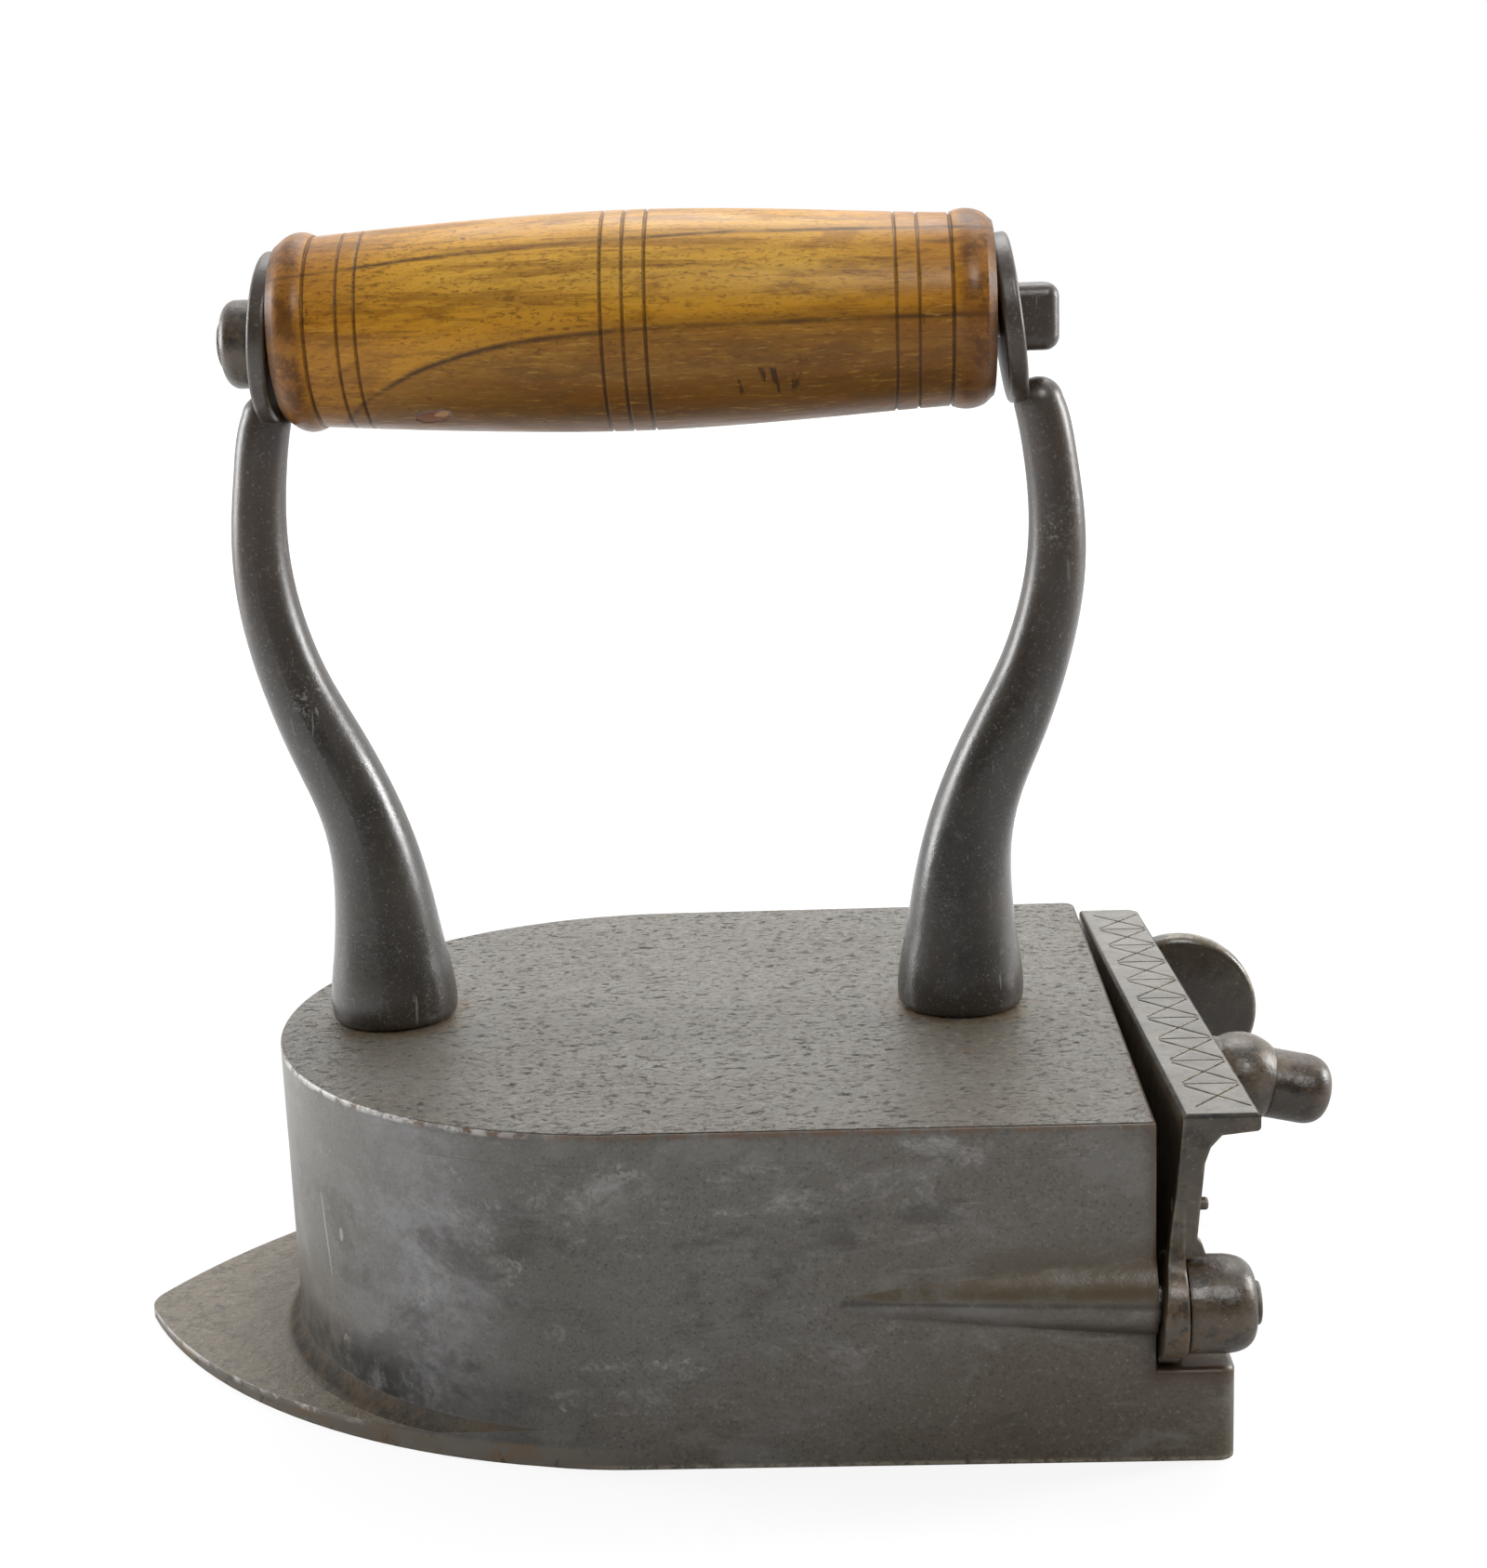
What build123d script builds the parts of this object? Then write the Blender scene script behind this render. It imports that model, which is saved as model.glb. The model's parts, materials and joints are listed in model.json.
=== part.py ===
from build123d import *
import math
import os

os.makedirs("parts", exist_ok=True)

# A box iron: a hollow cast body with a pointed sole, a wooden grip on two curved posts,
# a loose heater slug inside and a gate that swings up over the open heel.
# Lengths are millimetres. +X runs to the heel, +Z is up, and the near side is -Y.
# The origin lies on the underside of the sole, below the middle of the handle.

# Body
post_spacing = 86.0
nose_reach = 16.7
heel_reach = 22.4
box_width = 105.6
nose_length = 55.0
box_height = 48.1
plate_thick = 4.5
wall = 5.0
toe_reach = 25.6
toe_curve_lead = 3.4
toe_tip_thick = 1.6
toe_foot_thick = 2.4
toe_tip_round = 6.0
cove_radius = 5.0
cove_bite = 0.35
cove_turn_shares = (0.08, 0.3, 0.52, 0.76, 1)
ledge_depth = 10.7
ledge_height = 13.3
ledge_corner_round = 2.4
ledge_edge_round = 0.9
far_corner_round = 2.0
plate_edge_round = 0.5
rib_high = 1.5
rib_wide = 5.0
rib_pitch = 26.0
rib_long = 96.0
overrun = 2.0

# Side boss and gate pin
pin_dia = 5.0
pin_inset = 1.5
pin_height = 22.0
pin_depth = 15.0
boss_dia = 12.4
boss_tip_dia = 4.0
boss_length = 57.8
boss_rise = 1.6
boss_inset = 1.5
cap_dia = 13.0
cap_length = 4.4
cap_dome = 4.7
pin_head_dia = 5.8
pin_head_long = 0.7

# Rivets of the top plate
rivet_dia = 3.2
rivet_grip = 8.0
rivet_side_front = 8.0
rivet_side_rear = 54.0

# Posts
post_base_dia = 18.5
post_bow = 15.1
post_foot_round = 1.3
rise_shares = (0, 0.112, 0.202, 0.291, 0.38, 0.47, 0.56, 0.65, 0.738, 0.828, 0.918, 1)
bow_shares = (0, 0.02, 0.045, 0.115, 0.27, 0.505, 0.735, 0.9, 0.988, 0.996, 0.94, 0.838)
girth_shares = (1, 0.919, 0.8, 0.7, 0.635, 0.603, 0.541, 0.497, 0.465, 0.432, 0.41, 0.384)
tenon_dia = 8.0
tenon_tail = 1.2
nut_across = 11.0
nut_high = 4.5
nut_round = 0.6

# Eyes, grip and rod
grip_height = 150.8
rod_drop = 1.3
front_neck_drop = 11.9
rear_neck_drop = 13.3
front_eye_out = 10.65
front_eye_dia = 24.4
front_eye_thick = 2.7
front_eye_lean = 4.7
front_eye_drop = 0.6
rear_eye_out = 8.3
rear_eye_dia = 24.0
rear_eye_thick = 2.8
rear_eye_lean = 6.8
rear_eye_drop = 1.4
eye_edge_round = 0.7
grip_front_out = 9.0
grip_rear_out = 6.15
grip_dia = 31.0
grip_bore_clear = 0.2
groove_deep = 0.25
groove_wide = 0.5
groove_shares = (0.0534, 0.0999, 0.1255, 0.4626, 0.4923, 0.523, 0.8631, 0.8947, 0.9402)
barrel_place_shares = (0.0534, 0.1855, 0.3343, 0.4831, 0.6319, 0.7807, 0.8935, 0.9402)
barrel_girth_shares = (0.868, 0.925, 0.975, 1, 0.98, 0.929, 0.885, 0.87)
front_bead_shares = (0.027, 0.905)
rear_bead_shares = (0.966, 0.902)
front_face_share = 0.8
rear_face_share = 0.79
bead_lip_share = 0.012
bead_foot_share = 0.86
rod_dia = 5.6
rod_head_dia = 6.8
rod_head_long = 0.7
rod_cap_dia = 12.6
rod_cap_long = 5.6
rod_cap_round = 1.9
rod_nut_across = 9.4
rod_nut_long = 5.7
rod_nut_round = 2.0

# Gate
gate_gap = 0.5
gate_seat = 0.3
gate_near_rise = 1.0
gate_far_fall = 0.9
gate_near_lean = 3.1
gate_far_lean = 0.3
gate_foot_thick = 3.2
gate_neck_thick = 2.7
flange_deep = 9.9
flange_thick = 2.4
flange_root = 2.2
flange_edge_round = 0.6
gate_far_inset = 2.5
gate_corner_round = 2.6
ear_dia = 14.0
ear_flare_high = 9.0
ear_flare_bend_shares = (0.4, 0.36)
gusset_high = 5.0
gusset_out = 2.9
running_clear = 0.08
body_clear = 0.3
gate_rivet_dia = 1.7
gate_rivet_out = 0.8
gate_rivet_inset = 2.4
gate_rivet_height = 35.8

# Engraved border on the gate's flange
engrave_repeats = 10
engrave_deep = 0.3
engrave_wide = 0.36
engrave_front = 1.9
engrave_rear = 0.7
engrave_near = 2.2
engrave_far = 2.6
engrave_cross_share = 0.86

# Thumb fin
fin_dia = 26.2
fin_thick = 4.0
fin_inset = 12.8
fin_out = 15.6
fin_height = 32.6
fin_edge_round = 1.5

# Latch
stud_dia = 4.8
stud_droop = 12.0
stud_height = 37.9
stud_root = 2.2
stud_boss_dia = 12.4
stud_boss_long = 4.8
stud_head_dia = 6.8
stud_head_long = 1.6
lever_gap = 0.4
hub_dia = 11.0
ball_dia = 13.8
ball_place = 14.9
knob_place = 19.3
knob_dia = 10.6
knob_length = 9.6
knob_dome_share = 0.8
arm_thick = 2.8
shank_left = 3.7
shank_right = 1.3
nose_tip = 7.5
nose_inner = 18.0
nose_outer = 21.5
latch_angle = 40.0
hook_gap = 0.9
keeper_thick = 4.5
keeper_post = 5.0
keeper_lip = 3.3
keeper_inset = 0.2
keeper_tenon_dia = 3.0
keeper_tenon_long = 6.0

# Heater slug
slug_clear = 2.0
slug_top_clear = 1.8
slug_play = 1.9
slug_round = 1.5
tong_hole_dia = 12.0
tong_hole_inset = 14.0

# Places worked out from the sizes
half_width = box_width / 2
post_out = post_spacing / 2
box_front = -(post_out + nose_reach)
box_rear = post_out + heel_reach
nose_end = box_front + nose_length
sole_rear = box_rear + ledge_depth
toe_tip = box_front - toe_reach
wall_top = box_height - plate_thick
pin_y = -half_width + pin_inset
boss_y = pin_y + boss_inset
boss_z = pin_height + boss_rise
gate_front = box_rear + gate_gap
gate_foot = ledge_height + gate_seat
gate_near_top = box_height + gate_near_rise
gate_far_top = box_height - gate_far_fall
gate_far = half_width - gate_far_inset
fin_place = half_width - fin_inset
rod_height = grip_height - rod_drop


def plan(inset, rear):
    """Draw the box's outline, the nose curve and the straight sides, inset from the wall."""
    with Locations((nose_end, 0)):
        Ellipse(nose_length - inset, half_width - inset)
    with Locations((rear, 0)):
        Rectangle(rear - box_front, box_width, align=(Align.MAX, Align.CENTER), mode=Mode.INTERSECT)
    with Locations(((nose_end + rear) / 2, 0)):
        Rectangle(rear - nose_end, 2 * (half_width - inset))


def along_x(x, y, z):
    """A plane across the X axis, facing the heel."""
    return Plane(origin=(x, y, z), x_dir=(0, 1, 0), z_dir=(1, 0, 0))


# Toe: two arcs that leave the straight sides and meet at the tip, under a sloping top
arc_start = nose_end + toe_curve_lead
arc_run = arc_start - toe_tip
arc_radius = (arc_run**2 + half_width**2) / (2 * half_width)
arc_turn = math.atan2(arc_run, arc_radius - half_width)
arc_mid_x = arc_start - arc_radius * math.sin(arc_turn / 2)
arc_mid_y = half_width - arc_radius + arc_radius * math.cos(arc_turn / 2)
toe_slope = (toe_foot_thick - toe_tip_thick) / toe_reach
toe_back_thick = toe_foot_thick + toe_slope * nose_length
foot_top = toe_foot_thick + cove_radius

with BuildPart() as toe:
    with BuildSketch(Plane.XZ.offset(-half_width)):
        with BuildLine():
            Polyline(
                (toe_tip, 0),
                (nose_end, 0),
                (nose_end, toe_back_thick),
                (toe_tip, toe_tip_thick),
                close=True,
            )
        make_face()
    extrude(amount=box_width)
    # The cove at the foot of the nose, lofted through ellipses that draw in as they rise
    for turn_share in cove_turn_shares:
        cove_turn = math.radians(90) * turn_share
        cove_out = cove_radius - (cove_radius + cove_bite) * math.sin(cove_turn)
        cove_z = foot_top - (cove_radius + cove_bite) * math.cos(cove_turn)
        with BuildSketch(Plane.XY.offset(cove_z)):
            with Locations((nose_end, 0)):
                Ellipse(nose_length + cove_out, half_width + cove_out)
    loft()
    with BuildSketch(Plane.XY) as sole_plan:
        with BuildLine():
            ThreePointArc((arc_start, half_width), (arc_mid_x, arc_mid_y), (toe_tip, 0))
            ThreePointArc((toe_tip, 0), (arc_mid_x, -arc_mid_y), (arc_start, -half_width))
            Line((arc_start, -half_width), (arc_start, half_width))
        make_face()
        fillet(sole_plan.vertices().sort_by(Axis.X)[0], radius=toe_tip_round)
    extrude(amount=foot_top, mode=Mode.INTERSECT)

with BuildPart() as box_body:
    with BuildSketch(Plane.XY):
        plan(0, box_rear)
    extrude(amount=wall_top)
    fillet(
        box_body.edges().filter_by(Axis.Z).group_by(Axis.Y)[-1].sort_by(Axis.X)[-1],
        radius=far_corner_round,
    )
    with BuildSketch(Plane.XY) as ledge_plan:
        with Locations(((box_rear + sole_rear - overrun) / 2, 0)):
            Rectangle(ledge_depth + overrun, box_width)
        fillet(ledge_plan.vertices().group_by(Axis.X)[-1], radius=ledge_corner_round)
    extrude(amount=ledge_height)
    fillet(
        box_body.edges().group_by(Axis.X)[-1].sort_by(Axis.Z)[-1],
        radius=ledge_edge_round,
    )
    add(toe.part)
    with Locations(Plane(origin=(box_rear, boss_y, boss_z), z_dir=(-1, 0, 0))):
        Cone(
            bottom_radius=boss_dia / 2,
            top_radius=boss_tip_dia / 2,
            height=boss_length,
            align=(Align.CENTER, Align.CENTER, Align.MIN),
        )
    with BuildSketch(Plane.XY.offset(ledge_height)):
        plan(wall, box_rear + overrun)
    extrude(amount=wall_top - ledge_height + overrun, mode=Mode.SUBTRACT)
    with Locations((box_rear - rib_long / 2 - wall, 0, ledge_height)):
        with GridLocations(0, rib_pitch, 1, 3):
            Box(rib_long, rib_wide, rib_high, align=(Align.CENTER, Align.CENTER, Align.MIN))
    with Locations(along_x(box_rear, pin_y, pin_height)):
        Hole(pin_dia / 2, depth=pin_depth)
# Top plate, its flush rivets and the holes for the posts' tenons
rivet_line = half_width - wall / 2
rivet_places = [(box_front + wall / 2, 0)]
for rivet_x in (rivet_side_front, rivet_side_rear):
    rivet_places += [(rivet_x, rivet_line), (rivet_x, -rivet_line)]

with BuildPart() as top_plate_rivets:
    with BuildSketch(Plane.XY.offset(wall_top - rivet_grip)):
        with Locations(*rivet_places):
            Circle(rivet_dia / 2)
    extrude(amount=rivet_grip + plate_thick)
top_plate_rivets.part.label = "top_plate_rivets"
export_step(top_plate_rivets.part, "parts/top_plate_rivets.step")

with BuildPart() as top_plate:
    with BuildSketch(Plane.XY.offset(wall_top)):
        plan(0, box_rear)
    extrude(amount=plate_thick)
    fillet(
        top_plate.edges().filter_by(Axis.Z).group_by(Axis.Y)[-1].sort_by(Axis.X)[-1],
        radius=far_corner_round,
    )
    fillet(top_plate.edges().group_by(Axis.Z)[-1], radius=plate_edge_round)
    with BuildSketch(Plane.XY.offset(wall_top)):
        with Locations((-post_out, 0), (post_out, 0)):
            Circle(tenon_dia / 2)
        with Locations(*rivet_places):
            Circle(rivet_dia / 2)
    extrude(amount=plate_thick, mode=Mode.SUBTRACT)
top_plate.part.label = "top_plate"
export_step(top_plate.part, "parts/top_plate.step")


# Posts: an S curve that leans out above the plate, with a flat eye forged at its top
def make_post(neck_drop, eye_out, eye_dia, eye_thick, eye_lean, eye_drop):
    """Make one post, standing at the heel's place and leaning towards the heel."""
    lean = math.radians(eye_lean)
    eye_plane = Plane(
        origin=(post_out + eye_out, 0, grip_height - eye_drop),
        x_dir=(0, 1, 0),
        z_dir=(math.cos(lean), 0, math.sin(lean)),
    )
    post_rise = grip_height - neck_drop - box_height
    places = [
        (post_out + post_bow * bow, box_height + post_rise * rise)
        for rise, bow in zip(rise_shares, bow_shares)
    ]
    last = len(places) - 1
    with BuildPart() as post:
        with Locations(eye_plane):
            Cylinder(eye_dia / 2, eye_thick)
        fillet(post.edges().filter_by(GeomType.CIRCLE), radius=eye_edge_round)
        for i, (x, z) in enumerate(places):
            before, after = places[max(i - 1, 0)], places[min(i + 1, last)]
            direction = (after[0] - before[0] if i else 0, 0, after[1] - before[1])
            with BuildSketch(Plane(origin=(x, 0, z), x_dir=(0, 1, 0), z_dir=direction)):
                Circle(post_base_dia * girth_shares[i] / 2)
        loft()
        fillet(post.edges().group_by(Axis.Z)[0], radius=post_foot_round)
        with Locations((places[last][0], 0, places[last][1])):
            Sphere(post_base_dia * girth_shares[last] / 2)
        with Locations((post_out, 0, box_height)):
            Cylinder(
                tenon_dia / 2,
                plate_thick + nut_high + tenon_tail,
                align=(Align.CENTER, Align.CENTER, Align.MAX),
            )
        with Locations(along_x(post_out + eye_out, 0, rod_height)):
            Cylinder(rod_dia / 2, eye_dia, mode=Mode.SUBTRACT)
    return post


toe_side_post = make_post(
    front_neck_drop, front_eye_out, front_eye_dia, front_eye_thick, front_eye_lean, front_eye_drop
)
with BuildPart() as front_post:
    add(toe_side_post.part.rotate(Axis.Z, 180))
front_post.part.label = "front_post"
export_step(front_post.part, "parts/front_post.step")

rear_post = make_post(
    rear_neck_drop, rear_eye_out, rear_eye_dia, rear_eye_thick, rear_eye_lean, rear_eye_drop
)
rear_post.part.label = "rear_post"
export_step(rear_post.part, "parts/rear_post.step")


def make_post_nut(x):
    """Make the square nut that pulls one post down on the plate from inside."""
    with BuildPart() as nut:
        with BuildSketch(Plane.XY.offset(wall_top)):
            with Locations((x, 0)):
                RectangleRounded(nut_across, nut_across, nut_round)
                Circle(tenon_dia / 2, mode=Mode.SUBTRACT)
        extrude(amount=-nut_high)
    return nut


front_post_nut = make_post_nut(-post_out)
front_post_nut.part.label = "front_post_nut"
export_step(front_post_nut.part, "parts/front_post_nut.step")

rear_post_nut = make_post_nut(post_out)
rear_post_nut.part.label = "rear_post_nut"
export_step(rear_post_nut.part, "parts/rear_post_nut.step")

# Grip: a turned barrel with a bead at each end and three sets of scribed lines
grip_front = -post_out - grip_front_out
grip_rear = post_out + grip_rear_out
grip_length = grip_rear - grip_front
grip_radius = grip_dia / 2


def grip_point(place_share, girth_share):
    """A point of the turned profile, from shares of the grip's length and radius."""
    return (grip_front + grip_length * place_share, grip_radius * girth_share)


barrel = [grip_point(*pair) for pair in zip(barrel_place_shares, barrel_girth_shares)]
with BuildPart() as handle_grip:
    grip_plane = Plane(origin=(0, 0, grip_height), x_dir=(1, 0, 0), z_dir=(0, -1, 0))
    with BuildSketch(grip_plane):
        with BuildLine():
            front_lip = Polyline(
                (grip_front, 0), grip_point(0, front_face_share), grip_point(bead_lip_share, bead_foot_share)
            )
            ThreePointArc(front_lip @ 1, grip_point(*front_bead_shares), barrel[0])
            Spline(*barrel)
            rear_bead = ThreePointArc(
                barrel[-1],
                grip_point(*rear_bead_shares),
                grip_point(1 - bead_lip_share, bead_foot_share),
            )
            Polyline(rear_bead @ 1, grip_point(1, rear_face_share), (grip_rear, 0), (grip_front, 0))
        make_face()
    revolve(axis=Axis((0, 0, grip_height), (1, 0, 0)))
    for share in groove_shares:
        radius = max(
            grip_radius * girth * (1 - t) + grip_radius * next_girth * t
            for place, next_place, girth, next_girth in zip(
                barrel_place_shares,
                barrel_place_shares[1:],
                barrel_girth_shares,
                barrel_girth_shares[1:],
            )
            for t in [(share - place) / (next_place - place)]
            if 0 <= t <= 1
        )
        with Locations(along_x(grip_front + grip_length * share, 0, grip_height)):
            Torus(radius + groove_wide / 2 - groove_deep, groove_wide / 2, mode=Mode.SUBTRACT)
    with Locations(along_x((grip_front + grip_rear) / 2, 0, rod_height)):
        Cylinder(rod_dia / 2 + grip_bore_clear, grip_length + overrun, mode=Mode.SUBTRACT)
    add(front_post.part, mode=Mode.SUBTRACT)
    add(rear_post.part, mode=Mode.SUBTRACT)
handle_grip.part.label = "handle_grip"
export_step(handle_grip.part, "parts/handle_grip.step")

# Rod through the grip, which is bored a little below its middle: it has a capped head
# at the toe end and a square nut at the heel
front_face_x = -post_out - front_eye_out - front_eye_thick / 2
rear_face_x = post_out + rear_eye_out + rear_eye_thick / 2
rod_front = front_face_x - rod_cap_long
rod_rear = rear_face_x + rod_nut_long

with BuildPart() as handle_rod:
    with Locations(along_x(rod_front, 0, rod_height)):
        Cylinder(rod_dia / 2, rod_rear - rod_front, align=(Align.CENTER, Align.CENTER, Align.MIN))
        Cylinder(rod_head_dia / 2, rod_head_long, align=(Align.CENTER, Align.CENTER, Align.MAX))
    fillet(handle_rod.edges().group_by(Axis.X)[0], radius=rod_head_long / 2)
handle_rod.part.label = "handle_rod"
export_step(handle_rod.part, "parts/handle_rod.step")

with BuildPart() as front_rod_cap:
    with Locations(along_x(rod_front, 0, rod_height)):
        Cylinder(
            rod_cap_dia / 2,
            rod_cap_long + front_eye_thick / 2,
            align=(Align.CENTER, Align.CENTER, Align.MIN),
        )
    fillet(front_rod_cap.edges().group_by(Axis.X)[0], radius=rod_cap_round)
    with Locations(along_x(rod_front, 0, rod_height)):
        Cylinder(rod_dia / 2, rod_cap_long * 3, mode=Mode.SUBTRACT)
    add(front_post.part, mode=Mode.SUBTRACT)
front_rod_cap.part.label = "front_rod_cap"
export_step(front_rod_cap.part, "parts/front_rod_cap.step")

with BuildPart() as rear_rod_nut:
    with Locations(along_x(rod_rear, 0, rod_height)):
        Box(
            rod_nut_across,
            rod_nut_across,
            rod_nut_long + rear_eye_thick / 2,
            align=(Align.CENTER, Align.CENTER, Align.MAX),
        )
    fillet(rear_rod_nut.edges().filter_by(Axis.X), radius=rod_nut_round)
    fillet(rear_rod_nut.edges().group_by(Axis.X)[-1], radius=rod_nut_round)
    with Locations(along_x(rod_rear, 0, rod_height)):
        Cylinder(rod_dia / 2, rod_nut_long * 3, mode=Mode.SUBTRACT)
    add(rear_post.part, mode=Mode.SUBTRACT)
rear_rod_nut.part.label = "rear_rod_nut"
export_step(rear_rod_nut.part, "parts/rear_rod_nut.step")

# Pivot of the gate: a pin driven into the boss, with a domed cap riveted on its end
cap_front = gate_front + gate_foot_thick + body_clear
cap_rear = cap_front + cap_length + cap_dome

with BuildPart() as gate_pivot_pin:
    with Locations(along_x(box_rear - pin_depth, pin_y, pin_height)):
        Cylinder(pin_dia / 2, cap_rear - box_rear + pin_depth, align=(Align.CENTER, Align.CENTER, Align.MIN))
    with Locations(along_x(cap_rear, pin_y, pin_height)):
        Cylinder(pin_head_dia / 2, pin_head_long, align=(Align.CENTER, Align.CENTER, Align.MIN))
    fillet(gate_pivot_pin.edges().group_by(Axis.X)[-1], radius=pin_head_long / 2)
gate_pivot_pin.part.label = "gate_pivot_pin"
export_step(gate_pivot_pin.part, "parts/gate_pivot_pin.step")

with BuildPart() as gate_pivot_cap:
    with BuildSketch(Plane(origin=(cap_front, pin_y, pin_height), x_dir=(1, 0, 0), z_dir=(0, -1, 0))):
        with BuildLine():
            dome_shoulder = (cap_length, cap_dia / 2)
            dome_top = (cap_length + cap_dome, pin_head_dia / 2)
            Polyline(
                dome_top,
                (cap_length + cap_dome, pin_dia / 2),
                (0, pin_dia / 2),
                (0, cap_dia / 2),
                dome_shoulder,
            )
            Spline(dome_shoulder, dome_top, tangents=((1, 0), (0, -1)))
        make_face()
    revolve(axis=Axis((0, pin_y, pin_height), (1, 0, 0)))
gate_pivot_cap.part.label = "gate_pivot_cap"
export_step(gate_pivot_cap.part, "parts/gate_pivot_cap.step")

# Gate: a warped plate with a flange along its top, an ear round the pin and a boss for the stud
droop = math.radians(stud_droop)
stud_dir = (math.cos(droop), 0, -math.sin(droop))
stud_up = (math.sin(droop), 0, math.cos(droop))
mid_share = half_width / (half_width + gate_far)
mid_lean = gate_near_lean + (gate_far_lean - gate_near_lean) * mid_share
stud_x = gate_front + gate_neck_thick + mid_lean * stud_height / gate_near_top + flange_root / 4


def stud_point(along, across=0, up=0):
    """A point given along the stud, across it towards the far side, and up square to it."""
    return (
        stud_x + along * stud_dir[0] + up * stud_up[0],
        across,
        stud_height + along * stud_dir[2] + up * stud_up[2],
    )


def stud_plane(along):
    """A plane square to the stud, with its X axis towards the far side."""
    return Plane(origin=stud_point(along), x_dir=(0, 1, 0), z_dir=stud_dir)


def gate_section(y, top, lean):
    """Draw the gate's section across the width: the plate and the flange over it."""
    front_top = gate_front + lean
    with BuildSketch(Plane(origin=(0, y, 0), x_dir=(1, 0, 0), z_dir=(0, -1, 0))) as section:
        with BuildLine():
            Polyline(
                (gate_front, gate_foot),
                (gate_front + gate_foot_thick, gate_foot),
                (front_top + gate_neck_thick, top - flange_thick - flange_root * 2),
                (front_top + gate_neck_thick + flange_root / 3, top - flange_thick - flange_root),
                (front_top + gate_neck_thick + flange_root, top - flange_thick - flange_root / 4),
                (front_top + flange_deep, top - flange_thick),
                (front_top + flange_deep, top),
                (front_top, top),
                close=True,
            )
        make_face()
    return section.sketch


engrave_tilt = (gate_far_top - gate_near_top) / (half_width + gate_far)
engrave_pitch = (half_width + gate_far - engrave_near - engrave_far) / engrave_repeats

# The ear round the pin, with a flare that joins it to the plate's near side
flare_top = (-half_width, pin_height + ear_dia / 2 + ear_flare_high)
flare_foot = (pin_y - ear_dia / 2, pin_height)
flare_bend = (
    flare_top[0] + (flare_foot[0] - flare_top[0]) * ear_flare_bend_shares[0],
    flare_foot[1] + (flare_top[1] - flare_foot[1]) * ear_flare_bend_shares[1],
)
flare_lean = gate_near_lean * (flare_top[1] - gate_foot) / (gate_near_top - gate_foot)

with BuildPart() as gate_ear:
    with Locations(along_x(gate_front, pin_y, pin_height)):
        Cylinder(ear_dia / 2, gate_foot_thick, align=(Align.CENTER, Align.CENTER, Align.MIN))
    with BuildSketch(Plane(origin=(gate_front, 0, 0), x_dir=(0, 1, 0), z_dir=(1, 0, 0))):
        with BuildLine():
            Spline(flare_top, flare_bend, flare_foot, tangents=((0, -1), (0, -1)))
            Polyline(flare_foot, (pin_y, pin_height), (pin_y, flare_top[1]), flare_top)
        make_face()
    extrude(amount=gate_foot_thick)
    # Its front follows the plate's lean above the pin
    with BuildSketch(Plane.XZ.offset(-pin_y - ear_dia / 2 - overrun)):
        with BuildLine():
            Polyline(
                (gate_front - overrun, pin_height),
                (gate_front, pin_height),
                (gate_front + flare_lean, flare_top[1]),
                (gate_front + flare_lean, flare_top[1] + overrun),
                (gate_front - overrun, flare_top[1] + overrun),
                close=True,
            )
        make_face()
    extrude(amount=ear_dia + overrun * 2, mode=Mode.SUBTRACT)

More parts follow.
